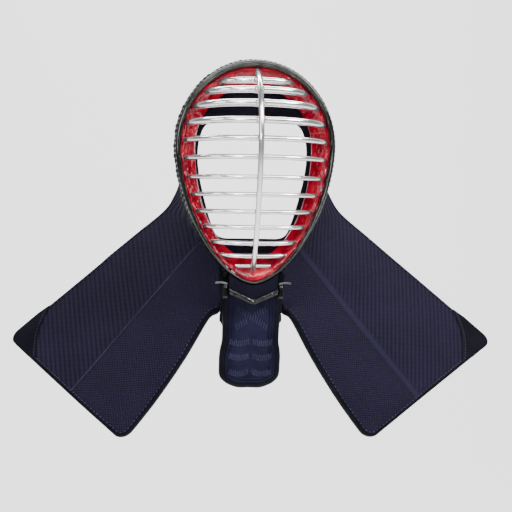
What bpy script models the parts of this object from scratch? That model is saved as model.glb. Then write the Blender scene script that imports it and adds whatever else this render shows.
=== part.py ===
"""Kendo head guard: a welded steel face grille in a black rim and a red lacquered collar,
a padded ring round the face, one long quilted pad that crosses the crown and ends in two
shoulder flaps, and a throat guard that hangs from the chin.

Metres, +Z up, the face looks along -Y. Shapes are worked out in face coordinates: y = 0 on
the rim's plane, z = 0 on the cheek line where the rim is widest, x = 0 on the middle. An
empty then carries every piece, so that the crown's underside lies at the world origin.
"""

from collections import namedtuple
import math

import bmesh
import bpy
from mathutils import Vector

# Gap that neighbouring pieces keep
CLEARANCE = 0.0003

# Steepest edge in degrees that is still shaded smooth
SHARP_ANGLE = 50.0
PAD_SHARP_ANGLE = 60.0
GUARD_SHARP_ANGLE = 40.0
TINY = 1e-9

# Rim: an ellipse above the cheek line and a fuller curve below it
RIM_WIDTH = 0.193
CROWN_RISE = 0.104
CHIN_DROP = 0.165
CHIN_FULLNESS = 1.7
RIM_BAND_TOP = 0.0085
RIM_BAND_SIDE = 0.0068
RIM_BAND_CHIN = 0.0045
RIM_FRONT = 0.008
RIM_BACK = 0.016
RING_STEPS = 54

# Red collar between the rim and the face opening
COLLAR_INSET_TOP = 0.030
COLLAR_INSET_SIDE = 0.0255
COLLAR_INSET_CHIN = 0.030
COLLAR_FULLNESS = 2.0
COLLAR_FRONT = 0.002
COLLAR_SLOPE = 0.018
COLLAR_LIP = 0.005
COLLAR_BACK = COLLAR_FRONT + COLLAR_SLOPE + COLLAR_LIP
COLLAR_FLAT = 0.4

# Grille
BAR_THICKNESS = 0.0088
BAR_FULLNESS = 2.2
BAR_TIP_SHARE = 0.65
BAR_SHOULDER_SHARE = 0.9
BAR_END_DEPTH = 0.0105
BAR_END_TOP = 0.0155
BAR_END_SIDE = 0.0115
BAR_END_CHIN = 0.007
SPINE_THICKNESS = 0.0076
SPINE_FOOT_SHARE = 0.72
SPINE_TIP_SHARE = 0.7
SPINE_CHIN_FULLNESS = 1.5
SPINE_CHIN_POWER = 0.7
SPINE_END_INSET = 0.0125
SPINE_PEAK = 0.005
GRILLE_DEPTH = 0.064
WELD_GAP = 0.0008
SLOPE_STEP = 0.001
BAR_SEGMENTS = 12
BAR_SIDES = 8

# Padded ring behind the collar
CUSHION_DEPTH = 0.018
CUSHION_OUTER_INSET = 0.012
WINDOW_WIDTH = 0.135
WINDOW_TOP = 0.029
WINDOW_FOOT = 0.109

# Long quilted pad, from flap to flap over the crown
PAD_THICKNESS = 0.008
PAD_DEPTH = 0.156
PAD_RIM_INSET = 0.0045
PAD_SWING_RATIO = 0.10
FLAP_SWING_RATIO = 0.17
FLAP_PIVOT = 0.034
PAD_RIM_GAP = 0.0012
NOTCH_OUT = 0.037
NOTCH_SETBACK = 0.0135
NOTCH_DROP = 0.1975
STEP_OUT = 0.048
STEP_SETBACK = 0.0078
STEP_DROP = 0.2035
FLAP_FRONT_OUT = 0.151
FLAP_FRONT_SETBACK = 0.0078
FLAP_FRONT_DROP = 0.361
FLAP_FRONT_BOW = 0.005
FLAP_SPAN = 0.642
FLAP_REAR_OUT = FLAP_SPAN / 2
FLAP_REAR_SETBACK = 0.145
FLAP_REAR_DROP = 0.2515
FLAP_RIDGE = 0.012
RIDGE_PLACE = 0.42
PAD_COLUMNS = 6
ROW_STEPS = 3
NORMAL_STEP = 0.02

# Binding round the pad's free edges, and the leather on the rear corners
BINDING_WIDTH = 0.0065
BINDING_THICKNESS = 0.0095
CORNER_RADIUS = 0.016
CORNER_TURNS = (90, 60, 30, 0)
INSET_START_ROWS = 0.6
INSET_ROWS = 0.4
BINDING_START_ROWS = 0.8
PATCH_REACH = 0.046
PATCH_HOLLOW = 0.22
PATCH_THICKNESS = 0.0014
PATCH_MARGIN = 0.0004
PATCH_TIP = 0.04
PATCH_STEPS = 10
SEAM_GAP = 0.0008

# Throat guard
THROAT_WIDTH = 0.0752
THROAT_LENGTH = 0.1285
THROAT_THICKNESS = 0.010
THROAT_BORDER = 0.0095
THROAT_BULGE = 0.002
THROAT_LEAN_RATIO = 0.20
INNER_FLAP_WIDTH = 0.084
INNER_FLAP_FOOT_WIDTH = 0.081
INNER_FLAP_TAPER = 1.2
INNER_FLAP_LENGTH = 0.087
INNER_FLAP_LAP = 0.015
INNER_FLAP_THICKNESS = 0.006

# Chin leather
CHIN_PANEL_SHARE = 0.771
CHIN_PANEL_WIDTH = THROAT_WIDTH * CHIN_PANEL_SHARE
CHIN_PANEL_THICKNESS = 0.0055
CHIN_PANEL_LAP = 0.3
CHIN_PANEL_STEPS = 12
CHIN_BAND_WIDTH = 0.0075
CHIN_BAND_THICKNESS = 0.0045
CHIN_BAND_DROP = 0.007
CHIN_BAND_POINT = 0.0135
CHIN_TAB_WIDTH = 0.0065
CHIN_TAB_LENGTH = 0.0155
LACE_THICKNESS = 0.0026
LACE_LENGTH = 0.014
LACE_RISE = 0.35
LACE_CURL = 1.2
LACE_STEPS = 5

HALF_WIDTH = RIM_WIDTH / 2

Bar = namedtuple("Bar", "end middle thickness")
# Heights are shares of the rise above the cheek line, or of the drop below it
BARS = (
    Bar(0.728, 0.755, 0.93),
    Bar(0.602, 0.638, 0.98),
    Bar(0.434, 0.481, 1.00),
    Bar(0.249, 0.284, 0.95),
    Bar(0.053, 0.079, 0.74),
    Bar(-0.093, -0.081, 0.68),
    Bar(-0.226, -0.222, 0.62),
    Bar(-0.350, -0.345, 0.62),
    Bar(-0.465, -0.469, 0.62),
    Bar(-0.574, -0.581, 0.62),
    Bar(-0.683, -0.698, 0.62),
    Bar(-0.782, -0.793, 0.62),
    Bar(-0.869, -0.867, 0.60),
)

Edge = namedtuple("Edge", "out height")
# Right half of the face opening: shares of half its width, and of its rise or drop
WINDOW = (
    Edge(0.0, 1.0),
    Edge(0.76, 1.0),
    Edge(0.86, 0.90),
    Edge(0.94, 0.55),
    Edge(1.0, 0.08),
    Edge(0.985, -0.26),
    Edge(0.81, -0.70),
    Edge(0.66, -0.95),
    Edge(0.60, -1.0),
    Edge(0.0, -1.0),
)

Head = namedtuple("Head", "angle setback rear_out rear_back rear_up bow fold")
# Pad where it follows the rim: degrees round the rim, then shares of PAD_DEPTH, HALF_WIDTH,
# PAD_DEPTH, CROWN_RISE and PAD_DEPTH, and how round the bow is
HEAD_ROWS = (
    Head(90, 0.00, 0.00, 1.00, 0.73, 0.075, 2.0),
    Head(70, 0.00, 0.34, 1.00, 0.69, 0.060, 2.0),
    Head(50, 0.00, 0.62, 1.00, 0.53, 0.035, 2.0),
    Head(30, 0.00, 0.81, 0.99, 0.32, 0.015, 2.0),
    Head(10, 0.00, 0.90, 0.98, 0.05, 0.0, 2.0),
    Head(-10, 0.00, 0.93, 0.97, -0.17, 0.0, 2.0),
    Head(-30, 0.01, 0.97, 0.97, -0.40, 0.0, 1.9),
    Head(-45, 0.035, 1.05, 0.98, -0.58, 0.01, 1.8),
    Head(-62, 0.075, 1.21, 0.96, -0.79, 0.03, 1.6),
)

Flap = namedtuple("Flap", "front rear bow fold")
# Pad below the rim: front runs 0 to 1 down to the notch, then 1 to 2 from the step beside
# the notch on to the front corner;
# rear runs 0 to 1 out to the rear corner, bow is a share of FLAP_RIDGE
FLAP_ROWS = (
    Flap(0.50, 0.18, 0.5, 1.5),
    Flap(1.00, 0.36, 0.7, 1.4),
    Flap(1.03, 0.42, 0.75, 1.4),
    Flap(1.33, 0.57, 0.9, 1.4),
    Flap(1.67, 0.79, 1.0, 1.4),
    Flap(2.00, 1.00, 1.0, 1.4),
)
FLAP_FACE = Vector((0.28, -0.85, 0.45))

Section = namedtuple("Section", "out down relief")
# Right half of the throat guard's outline, with the relief of its stitched bands
THROAT_ROWS = (
    Section(0.92, 0.00, 0.0),
    Section(0.93, 0.26, 0.0),
    Section(0.925, 0.47, 0.0),
    Section(0.93, 0.55, 1.0),
    Section(0.975, 0.62, 0.0),
    Section(1.0, 0.69, 1.0),
    Section(1.0, 0.77, 0.0),
    Section(0.995, 0.845, 1.0),
    Section(0.97, 0.885, 0.0),
    Section(0.89, 0.922, 0.0),
    Section(0.72, 0.963, 0.0),
    Section(0.38, 1.0, 0.0),
)
THROAT_RELIEF = 0.0008
# Corners across the centre panel, as shares of half its width
GUARD_SPANS = (1.0, 0.8, 0.3, -0.3, -0.8, -1.0)

Corner = namedtuple("Corner", "across along")
# Cross-sections: shares of the piece's width and of its thickness from front to back
RIM_SECTION = (
    Corner(0.0, 0.2),
    Corner(0.15, 0.06),
    Corner(0.5, 0.0),
    Corner(0.85, 0.06),
    Corner(1.0, 0.2),
    Corner(1.0, 1.0),
    Corner(0.0, 1.0),
)
# Front of the collar: share of its width from the rim, and of its slope
COLLAR_SECTION = (
    Corner(0.0, 0.0),
    Corner(0.45, 0.25),
    Corner(0.8, 0.65),
    Corner(1.0, 1.0),
)
CUSHION_SECTION = (
    Corner(1.0, 0.2),
    Corner(1.0, 0.8),
    Corner(0.88, 1.0),
    Corner(0.15, 1.0),
    Corner(0.0, 0.75),
    Corner(0.0, 0.25),
    Corner(0.15, 0.0),
    Corner(0.88, 0.0),
)
BORDER_SECTION = (
    Corner(0.0, 0.0),
    Corner(0.55, -0.06),
    Corner(0.9, 0.12),
    Corner(1.0, 0.4),
    Corner(1.0, 0.8),
    Corner(0.8, 1.0),
    Corner(0.0, 1.0),
)
INNER_FLAP_SECTION = (
    Corner(1.0, 0.3),
    Corner(0.9, 0.0),
    Corner(-0.9, 0.0),
    Corner(-1.0, 0.3),
    Corner(-1.0, 0.7),
    Corner(-0.9, 1.0),
    Corner(0.9, 1.0),
    Corner(1.0, 0.7),
)
# Share of the binding's width from its seam, and of half its thickness over the middle
BINDING_SECTION = (
    Corner(0.0, 1.0),
    Corner(0.7, 1.0),
    Corner(1.0, 0.45),
    Corner(1.0, -0.45),
    Corner(0.7, -1.0),
    Corner(0.0, -1.0),
)
# Share of the patch's depth from the pad's edge, and of its thickness
PATCH_SECTION = (
    Corner(0.0, 0.0),
    Corner(0.0, 1.0),
    Corner(0.5, 1.0),
    Corner(1.0, 1.0),
    Corner(1.0, 0.0),
    Corner(0.5, 0.0),
)
# Share of half the chin band's width, and of its thickness forward of its back
BAND_SECTION = (
    Corner(1.0, 0.0),
    Corner(1.0, 0.5),
    Corner(0.6, 1.0),
    Corner(-0.6, 1.0),
    Corner(-1.0, 0.5),
    Corner(-1.0, 0.0),
)
BAND_STATIONS = (-1.0, -0.75, -0.5, -0.25, -0.08, 0.08, 0.25, 0.5, 0.75, 1.0)
# Share of a chin tab's width, and of its thickness forward of its back
TAB_SECTION = (
    Corner(0.0, 0.0),
    Corner(0.0, 0.6),
    Corner(0.25, 1.0),
    Corner(0.75, 1.0),
    Corner(1.0, 0.6),
    Corner(1.0, 0.0),
)

Station = namedtuple("Station", "down out")
# Down a chin tab, with its share of the tab's thickness
TAB_ROWS = (
    Station(0.0, 0.7),
    Station(0.15, 1.0),
    Station(0.85, 1.0),
    Station(1.0, 0.7),
)
# Down the inner flap, with its share of half the flap's width
INNER_FLAP_ROWS = (
    Station(0.0, 1.0),
    Station(0.25, 1.0),
    Station(0.5, 1.0),
    Station(0.65, 1.0),
    Station(0.76, 0.95),
    Station(0.87, 0.85),
    Station(0.96, 0.64),
    Station(1.0, 0.34),
)

Surface = namedtuple("Surface", "colour roughness metallic")
STEEL = Surface((0.75, 0.75, 0.77), 0.22, 1.0)
BLACK_LACQUER = Surface((0.012, 0.014, 0.014), 0.2, 0.0)
RED_LACQUER = Surface((0.5, 0.01, 0.03), 0.25, 0.0)
NAVY_COTTON = Surface((0.022, 0.022, 0.05), 0.9, 0.0)
DARK_COTTON = Surface((0.014, 0.014, 0.03), 0.9, 0.0)
NAVY_LEATHER = Surface((0.016, 0.018, 0.045), 0.5, 0.0)
GREY_THONG = Surface((0.2, 0.2, 0.2), 0.7, 0.0)


def egg(angle, top, side, chin, depth, fullness=CHIN_FULLNESS):
    """Point of the rim's outline, drawn in by its own amount at the top, sides and chin."""
    across = math.cos(angle)
    up = math.sin(angle)
    half = HALF_WIDTH - side
    if up >= 0.0:
        return Vector((half * across, depth, (CROWN_RISE - top) * up))
    power = 2.0 / fullness
    x = half * math.copysign(abs(across) ** power, across)
    z = -(CHIN_DROP - chin) * abs(up) ** power
    return Vector((x, depth, z))


def egg_half_width(z, top, side, chin):
    """Half the width of the drawn-in outline at a height."""
    if z >= 0.0:
        share = max(0.0, 1.0 - (z / (CROWN_RISE - top)) ** 2)
        return (HALF_WIDTH - side) * math.sqrt(share)
    share = max(0.0, 1.0 - (-z / (CHIN_DROP - chin)) ** CHIN_FULLNESS)
    return (HALF_WIDTH - side) * share ** (1.0 / CHIN_FULLNESS)


def rim_underside(x):
    """Height of the rim's lower outline at a distance from the middle."""
    share = max(0.0, 1.0 - (abs(x) / HALF_WIDTH) ** CHIN_FULLNESS)
    return -CHIN_DROP * share ** (1.0 / CHIN_FULLNESS)


def height_of(share):
    """Height over the cheek line from a share of the rise or of the drop."""
    return share * (CROWN_RISE if share > 0.0 else CHIN_DROP)


def lerp(start, end, share):
    return start + (end - start) * share


def material(name, surface):
    made = bpy.data.materials.new(name)
    made.use_nodes = True
    shader = made.node_tree.nodes["Principled BSDF"]
    shader.inputs["Base Color"].default_value = (*surface.colour, 1.0)
    shader.inputs["Roughness"].default_value = surface.roughness
    shader.inputs["Metallic"].default_value = surface.metallic
    return made


def add_piece(name, bm, finish, carrier, sharp=SHARP_ANGLE):
    """Turn the mesh into a smooth-shaded object that rides on the carrier."""
    bmesh.ops.recalc_face_normals(bm, faces=bm.faces)
    mesh = bpy.data.meshes.new(name)
    bm.to_mesh(mesh)
    bm.free()
    mesh.shade_smooth()
    mesh.set_sharp_from_angle(angle=math.radians(sharp))
    if finish:
        mesh.materials.append(finish)
    piece = bpy.data.objects.new(name, mesh)
    bpy.context.collection.objects.link(piece)
    piece.parent = carrier
    return piece


def add_loft(bm, rings, closed=False, paired=False):
    """Join rings of equal length with quads, and cap the ends of an open row of rings.

    A paired ring is an outer row followed by its inner row backwards; its cap is a strip.
    """
    loops = [[bm.verts.new(point) for point in ring] for ring in rings]
    count = len(loops[0])
    pairs = list(zip(loops, loops[1:]))
    if closed:
        pairs.append((loops[-1], loops[0]))
    for here, there in pairs:
        for index in range(count):
            after = (index + 1) % count
            bm.faces.new((here[index], here[after], there[after], there[index]))
    if closed:
        return
    for cap in (loops[0], loops[-1]):
        if not paired:
            bm.faces.new(cap)
            continue
        for index in range(count // 2 - 1):
            bm.faces.new((cap[index], cap[index + 1], cap[-2 - index], cap[-1 - index]))


def add_tube(bm, points, radii, sideways, grow=0.0):
    """Round bar along the points; sideways is never along the bar."""
    rings = []
    last = len(points) - 1
    for index, point in enumerate(points):
        tangent = (points[min(index + 1, last)] - points[max(index - 1, 0)]).normalized()
        if index == 0:
            point = point - tangent * grow
        if index == last:
            point = point + tangent * grow
        first = sideways.cross(tangent).normalized()
        second = tangent.cross(first)
        radius = radii[index] + grow
        turns = [math.tau * side / BAR_SIDES for side in range(BAR_SIDES)]
        rings.append([point + first * radius * math.cos(turn) + second * radius * math.sin(turn)
                      for turn in turns])
    add_loft(bm, rings)


def spine_point(turn):
    """Upright bar's middle line; turn runs from 90 degrees at the top to -90 at the foot."""
    share = math.sin(turn)
    top = CROWN_RISE - SPINE_END_INSET
    foot = CHIN_DROP - SPINE_END_INSET
    if share >= 0.0:
        z = lerp(SPINE_PEAK, top, share)
        reach = math.cos(turn)
    else:
        z = lerp(SPINE_PEAK, -foot, -share)
        reach = max(0.0, 1.0 - abs(share) ** SPINE_CHIN_FULLNESS) ** SPINE_CHIN_POWER
    return Vector((0.0, BAR_END_DEPTH - (BAR_END_DEPTH + GRILLE_DEPTH) * reach, z))


def spine_depth(z):
    """Depth of the upright bar's middle line at a height."""
    if z >= SPINE_PEAK:
        share = (z - SPINE_PEAK) / (CROWN_RISE - SPINE_END_INSET - SPINE_PEAK)
    else:
        share = (z - SPINE_PEAK) / (CHIN_DROP - SPINE_END_INSET + SPINE_PEAK)
    return spine_point(math.asin(max(-1.0, min(1.0, share)))).y


def spine_distance(z, radius):
    """How far behind the upright bar's middle line, along y, a cross bar just clears it."""
    rise = spine_depth(z + SLOPE_STEP) - spine_depth(z - SLOPE_STEP)
    slope = rise / (2.0 * SLOPE_STEP)
    return (radius + SPINE_THICKNESS / 2 + WELD_GAP) * math.sqrt(1.0 + slope ** 2)


def add_spine(bm, grow=0.0):
    steps = 2 * BAR_SEGMENTS
    turns = [math.pi * (0.5 - step / steps) for step in range(steps + 1)]
    points = [spine_point(turn) for turn in turns]
    taper = [lerp(1.0, SPINE_FOOT_SHARE, step / steps) for step in range(steps + 1)]
    radii = [SPINE_THICKNESS / 2 * share for share in taper]
    radii[0] *= SPINE_TIP_SHARE
    radii[-1] *= SPINE_TIP_SHARE
    add_tube(bm, points, radii, Vector((1.0, 0.0, 0.0)), grow)


def add_cross_bar(bm, bar, grow=0.0):
    """Cross bar that swells forward from one side of the collar to the other."""
    radius = bar.thickness * BAR_THICKNESS / 2
    end_height = height_of(bar.end)
    middle_height = height_of(bar.middle)
    reach = egg_half_width(end_height, BAR_END_TOP, BAR_END_SIDE, BAR_END_CHIN)
    middle_depth = spine_depth(middle_height) + spine_distance(middle_height, radius)
    points = []
    for step in range(BAR_SEGMENTS + 1):
        across = math.sin(math.pi * (step / BAR_SEGMENTS - 0.5))
        swell = max(0.0, 1.0 - abs(across) ** BAR_FULLNESS) ** (1.0 / BAR_FULLNESS)
        depth = lerp(BAR_END_DEPTH, middle_depth, swell)
        points.append(Vector((reach * across, depth, lerp(end_height, middle_height, swell))))
    radii = [radius] * len(points)
    radii[0] = radii[-1] = radius * BAR_TIP_SHARE
    radii[1] = radii[-2] = radius * BAR_SHOULDER_SHARE
    add_tube(bm, points, radii, Vector((0.0, 0.0, 1.0)), grow)


def make_grille(carrier, steel):
    """Upright bar, and behind it the cross bars that are welded to it."""
    bm = bmesh.new()
    add_spine(bm)
    add_piece("upright_bar", bm, steel, carrier)
    for number, bar in enumerate(BARS, start=1):
        bm = bmesh.new()
        add_cross_bar(bm, bar)
        add_piece("cross_bar_%02d" % number, bm, steel, carrier)


def hide_guide(guide):
    guide.hide_render = True
    guide.display_type = "WIRE"


def add_ring(bm, profile):
    """Closed ring round the face; the profile gives its corner points at an angle."""
    turns = [math.tau * step / RING_STEPS for step in range(RING_STEPS)]
    add_loft(bm, [profile(turn) for turn in turns], closed=True)


def rim_profile(turn):
    """Rounded at the front, flat at the back."""
    return [egg(turn, RIM_BAND_TOP * across, RIM_BAND_SIDE * across, RIM_BAND_CHIN * across,
                lerp(-RIM_FRONT, RIM_BACK, along)) for across, along in RIM_SECTION]


def collar_point(turn, across, depth):
    """Point of the collar; across runs from the rim to the face opening."""
    top = lerp(RIM_BAND_TOP + CLEARANCE, COLLAR_INSET_TOP, across)
    side = lerp(RIM_BAND_SIDE + CLEARANCE, COLLAR_INSET_SIDE, across)
    chin = lerp(RIM_BAND_CHIN + CLEARANCE, COLLAR_INSET_CHIN, across)
    fullness = lerp(CHIN_FULLNESS, COLLAR_FULLNESS, across)
    return egg(turn, top, side, chin, depth, fullness)


def collar_profile(turn):
    """Front that slopes back from the rim, a lip at the opening, and a flat back."""
    ring = [collar_point(turn, across, COLLAR_FRONT + COLLAR_SLOPE * along)
            for across, along in COLLAR_SECTION]
    ring.append(collar_point(turn, 1.0, COLLAR_BACK))
    ring.append(collar_point(turn, COLLAR_FLAT, RIM_BACK))
    ring.append(collar_point(turn, 0.0, RIM_BACK))
    return ring


def make_collar(carrier, red):
    """Collar with a blind pocket for each bar end."""
    bm = bmesh.new()
    for bar in BARS:
        add_cross_bar(bm, bar, CLEARANCE)
    add_spine(bm, CLEARANCE)
    pockets = add_piece("pocket_guide", bm, None, carrier)
    hide_guide(pockets)
    bm = bmesh.new()
    add_ring(bm, collar_profile)
    collar = add_piece("lacquer_collar", bm, red, carrier)
    cut = collar.modifiers.new("pockets", "BOOLEAN")
    cut.operation = "DIFFERENCE"
    cut.solver = "EXACT"
    cut.object = pockets


def window_outline():
    """Corners of the whole face opening, anticlockwise from the top middle."""
    half = [Vector((edge.out * WINDOW_WIDTH / 2, 0.0,
                    edge.height * (WINDOW_TOP if edge.height > 0.0 else WINDOW_FOOT)))
            for edge in WINDOW]
    mirrored = [Vector((-corner.x, 0.0, corner.z)) for corner in half]
    return mirrored[:-1] + half[:0:-1]


def window_point(direction, centre, depth):
    """Where a ray from the centre meets the outline of the face opening."""
    corners = window_outline()
    for start, end in zip(corners, corners[1:] + corners[:1]):
        run = end - start
        cross = direction.x * run.z - direction.z * run.x
        if abs(cross) < TINY:
            continue
        gap = start - centre
        reach = (gap.x * run.z - gap.z * run.x) / cross
        share = (gap.x * direction.z - gap.z * direction.x) / cross
        if reach > 0.0 and -TINY <= share <= 1.0 + TINY:
            return centre + direction * reach + Vector((0.0, depth, 0.0))
    return centre


def cushion_profile(turn):
    """Section of the padded ring, from the face opening out to under the collar."""
    centre = Vector((0.0, 0.0, (WINDOW_TOP - WINDOW_FOOT) / 2))
    inset = CUSHION_OUTER_INSET
    ring = []
    for across, along in CUSHION_SECTION:
        depth = COLLAR_BACK + CLEARANCE + CUSHION_DEPTH * along
        outer = egg(turn, inset, inset, inset, depth)
        direction = Vector((outer.x - centre.x, 0.0, outer.z - centre.z)).normalized()
        ring.append(lerp(window_point(direction, centre, depth), outer, across))
    return ring


def spline(values, place):
    """Smooth curve through the values; place counts them from 0."""
    last = len(values) - 1
    index = max(0, min(last - 1, int(math.floor(place))))
    share = place - index
    b, c = values[index], values[index + 1]
    a = values[index - 1] if index > 0 else 2.0 * b - c
    d = values[index + 2] if index + 2 <= last else 2.0 * c - b
    return 0.5 * (2.0 * b + (c - a) * share + (2.0 * a - 5.0 * b + 4.0 * c - d) * share ** 2
                  + (3.0 * b - a - 3.0 * c + d) * share ** 3)


def pad_rows():
    """Front edge, rear edge, bow and fold of the pad from the crown to the flap's end."""
    rim_face = RIM_BACK + PAD_RIM_GAP
    inset = PAD_RIM_INSET
    rows = []
    for row in HEAD_ROWS:
        front = egg(math.radians(row.angle), inset, inset, inset,
                    rim_face + row.setback * PAD_DEPTH)
        rear = Vector((row.rear_out * HALF_WIDTH, rim_face + row.rear_back * PAD_DEPTH,
                       row.rear_up * CROWN_RISE))
        away = Vector((front.x, 0.0, front.z)).normalized() if row.angle > 0 else FLAP_FACE
        rows.append((front, rear, away * row.bow * PAD_DEPTH, row.fold))
    leave = rows[-1]
    notch = Vector((NOTCH_OUT, rim_face + NOTCH_SETBACK, -NOTCH_DROP))
    step = Vector((STEP_OUT, rim_face + STEP_SETBACK, -STEP_DROP))
    front_corner = Vector((FLAP_FRONT_OUT, rim_face + FLAP_FRONT_SETBACK, -FLAP_FRONT_DROP))
    rear_corner = Vector((FLAP_REAR_OUT, rim_face + FLAP_REAR_SETBACK, -FLAP_REAR_DROP))
    for row in FLAP_ROWS:
        if row.front <= 1.0:
            front = lerp(leave[0], notch, row.front)
        else:
            share = row.front - 1.0
            run = (front_corner - step).normalized()
            front = lerp(step, front_corner, share)
            front += Vector((run.z, 0.0, -run.x)) * FLAP_FRONT_BOW * 4.0 * share * (1.0 - share)
        rear = lerp(leave[1], rear_corner, row.rear)
        rows.append((front, rear, FLAP_FACE * FLAP_RIDGE * row.bow, row.fold))
    return rows


def mirror(point):
    return Vector((-point.x, point.y, point.z))


RIGHT_ROWS = pad_rows()
LEFT_ROWS = [(mirror(front), mirror(rear), mirror(bow), fold)
             for front, rear, bow, fold in RIGHT_ROWS[:0:-1]]
PAD_ROWS = LEFT_ROWS + RIGHT_ROWS
CROWN_ROW = len(LEFT_ROWS)
END_ROW = len(PAD_ROWS) - 1
NOTCH_ROW = CROWN_ROW + len(HEAD_ROWS)


def pad_point(place, across):
    """Middle surface of the pad; across runs from the front edge to the rear edge."""
    front, rear, bow, fold = (spline([row[item] for row in PAD_ROWS], place)
                              for item in range(4))
    if across < RIDGE_PLACE:
        from_ridge = 1.0 - across / RIDGE_PLACE
    else:
        from_ridge = (across - RIDGE_PLACE) / (1.0 - RIDGE_PLACE)
    lift = 1.0 - abs(from_ridge) ** fold
    point = lerp(front, rear, across) + bow * lift
    toward_end = abs(place - CROWN_ROW) / (END_ROW - CROWN_ROW)
    swing = lerp(PAD_SWING_RATIO, FLAP_SWING_RATIO, toward_end ** 3)
    pivot = lerp(RIM_BACK, FLAP_PIVOT, toward_end ** 3)
    point.x += swing * (point.y - pivot)
    return point


def pad_normal(place, across):
    """Unit vector out of the pad's outer face."""
    step = NORMAL_STEP
    along = pad_point(place + step, across) - pad_point(place - step, across)
    over = pad_point(place, across + step) - pad_point(place, across - step)
    return along.cross(over).normalized()


def pad_width(place):
    return (pad_point(place, 1.0) - pad_point(place, 0.0)).length


ROW_LENGTH = (pad_point(END_ROW, 0.5) - pad_point(END_ROW - 1, 0.5)).length


def front_inset(place, inset):
    """Inset of the front edge: none along the rim, the whole inset below the notch."""
    share = max(0.0, min(1.0, (place - NOTCH_ROW - INSET_START_ROWS) / INSET_ROWS))
    return inset * share


def pad_stations(inset):
    """Rows of the right half: place, front share and rear share of the drawn-in outline."""
    radius = CORNER_RADIUS - inset
    stations = []
    steps = ROW_STEPS * (END_ROW - CROWN_ROW - 1) + 1
    for step in range(steps):
        place = CROWN_ROW + step / ROW_STEPS
        width = pad_width(place)
        stations.append((place, front_inset(place, inset) / width, 1.0 - inset / width))
    for degrees in CORNER_TURNS:
        turn = math.radians(degrees)
        place = END_ROW - (inset + radius * (1.0 - math.cos(turn))) / ROW_LENGTH
        side = (inset + radius * (1.0 - math.sin(turn))) / pad_width(place)
        stations.append((place, side, 1.0 - side))
    return stations


def both_halves(stations):
    """The stations of the left half, mirrored along the pad, before those of the right."""
    left = [(END_ROW - place, *shares) for place, *shares in stations[:0:-1]]
    return left + stations


def make_pad(carrier, cloth):
    """Pad as one closed body, drawn in by the binding's width where its edge is free."""
    bm = bmesh.new()
    rings = []
    for place, front, rear in both_halves(pad_stations(BINDING_WIDTH + SEAM_GAP)):
        shares = [lerp(front, rear, column / PAD_COLUMNS) for column in range(PAD_COLUMNS + 1)]
        middle = [(pad_point(place, share), pad_normal(place, share)) for share in shares]
        outer = [point + normal * PAD_THICKNESS / 2 for point, normal in middle]
        inner = [point - normal * PAD_THICKNESS / 2 for point, normal in reversed(middle)]
        rings.append(outer + inner)
    add_loft(bm, rings, paired=True)
    add_piece("quilted_pad", bm, cloth, carrier, PAD_SHARP_ANGLE)


def binding_path():
    """Outer and inner places along the right half's free edge, from the crown."""
    outer = pad_stations(0.0)
    inner = pad_stations(BINDING_WIDTH)
    path = [((out[0], out[2]), (into[0], into[2])) for out, into in zip(outer, inner)]
    out, into = outer[-1], inner[-1]
    for column in range(1, PAD_COLUMNS):
        share = 1.0 - column / PAD_COLUMNS
        path.append(((out[0], lerp(out[1], out[2], share)),
                     (into[0], lerp(into[1], into[2], share))))
    for out, into in zip(reversed(outer), reversed(inner)):
        if out[0] > NOTCH_ROW + BINDING_START_ROWS:
            path.append(((out[0], out[1]), (into[0], into[1])))
    return path


def make_binding(carrier, leather):
    """One strip along every free edge of the pad, rounded on its outer side."""
    half = binding_path()
    left = [tuple((END_ROW - place, share) for place, share in pair) for pair in half[:0:-1]]
    rings = []
    for outer, inner in left + half:
        edge = pad_point(*outer)
        seam = pad_point(*inner)
        lift = pad_normal(*inner) * BINDING_THICKNESS / 2
        rings.append([lerp(seam, edge, across) + lift * up for across, up in BINDING_SECTION])
    bm = bmesh.new()
    add_loft(bm, rings)
    add_piece("edge_binding", bm, leather, carrier)


def patch_place(side, along, deep):
    """Place on the pad of a corner patch; along follows the edge, deep goes to its hem."""
    rim = pad_stations(PATCH_MARGIN)[-len(CORNER_TURNS):]
    reach = PATCH_REACH / ROW_LENGTH
    width = pad_width(END_ROW - reach)
    edge = [(END_ROW - reach, 1.0 - PATCH_MARGIN / width)]
    edge += [(place, rear) for place, _, rear in rim]
    edge.append((rim[-1][0], 1.0 - PATCH_REACH / pad_width(END_ROW)))
    hem_start, hem_end = edge[0], edge[-1]
    count = len(edge) - 1
    index = min(count - 1, int(along * count))
    share = along * count - index
    outer = [lerp(edge[index][item], edge[index + 1][item], share) for item in range(2)]
    bend = PATCH_HOLLOW * math.sin(math.pi * along)
    straight = [lerp(hem_start[item], hem_end[item], along) for item in range(2)]
    corner = (hem_end[0], hem_start[1])
    hem = [lerp(straight[item], corner[item], bend) for item in range(2)]
    place, across = (lerp(outer[item], hem[item], deep) for item in range(2))
    return (place if side > 0 else END_ROW - place), across


def make_patch(name, side, carrier, leather):
    """Leather over a flap's rear corner, with a hollow inner hem."""
    floor = BINDING_THICKNESS / 2 + CLEARANCE
    rings = []
    for step in range(PATCH_STEPS + 1):
        along = lerp(PATCH_TIP, 1.0 - PATCH_TIP, step / PATCH_STEPS)
        ring = []
        for deep, up in PATCH_SECTION:
            place = patch_place(side, along, deep)
            lift = pad_normal(*place) * (floor + PATCH_THICKNESS * up)
            ring.append(pad_point(*place) + lift)
        rings.append(ring)
    bm = bmesh.new()
    add_loft(bm, rings)
    add_piece(name, bm, leather, carrier)


def throat_top():
    """Height of the throat guard's top, just under the rim."""
    return -CHIN_DROP - CLEARANCE


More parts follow.
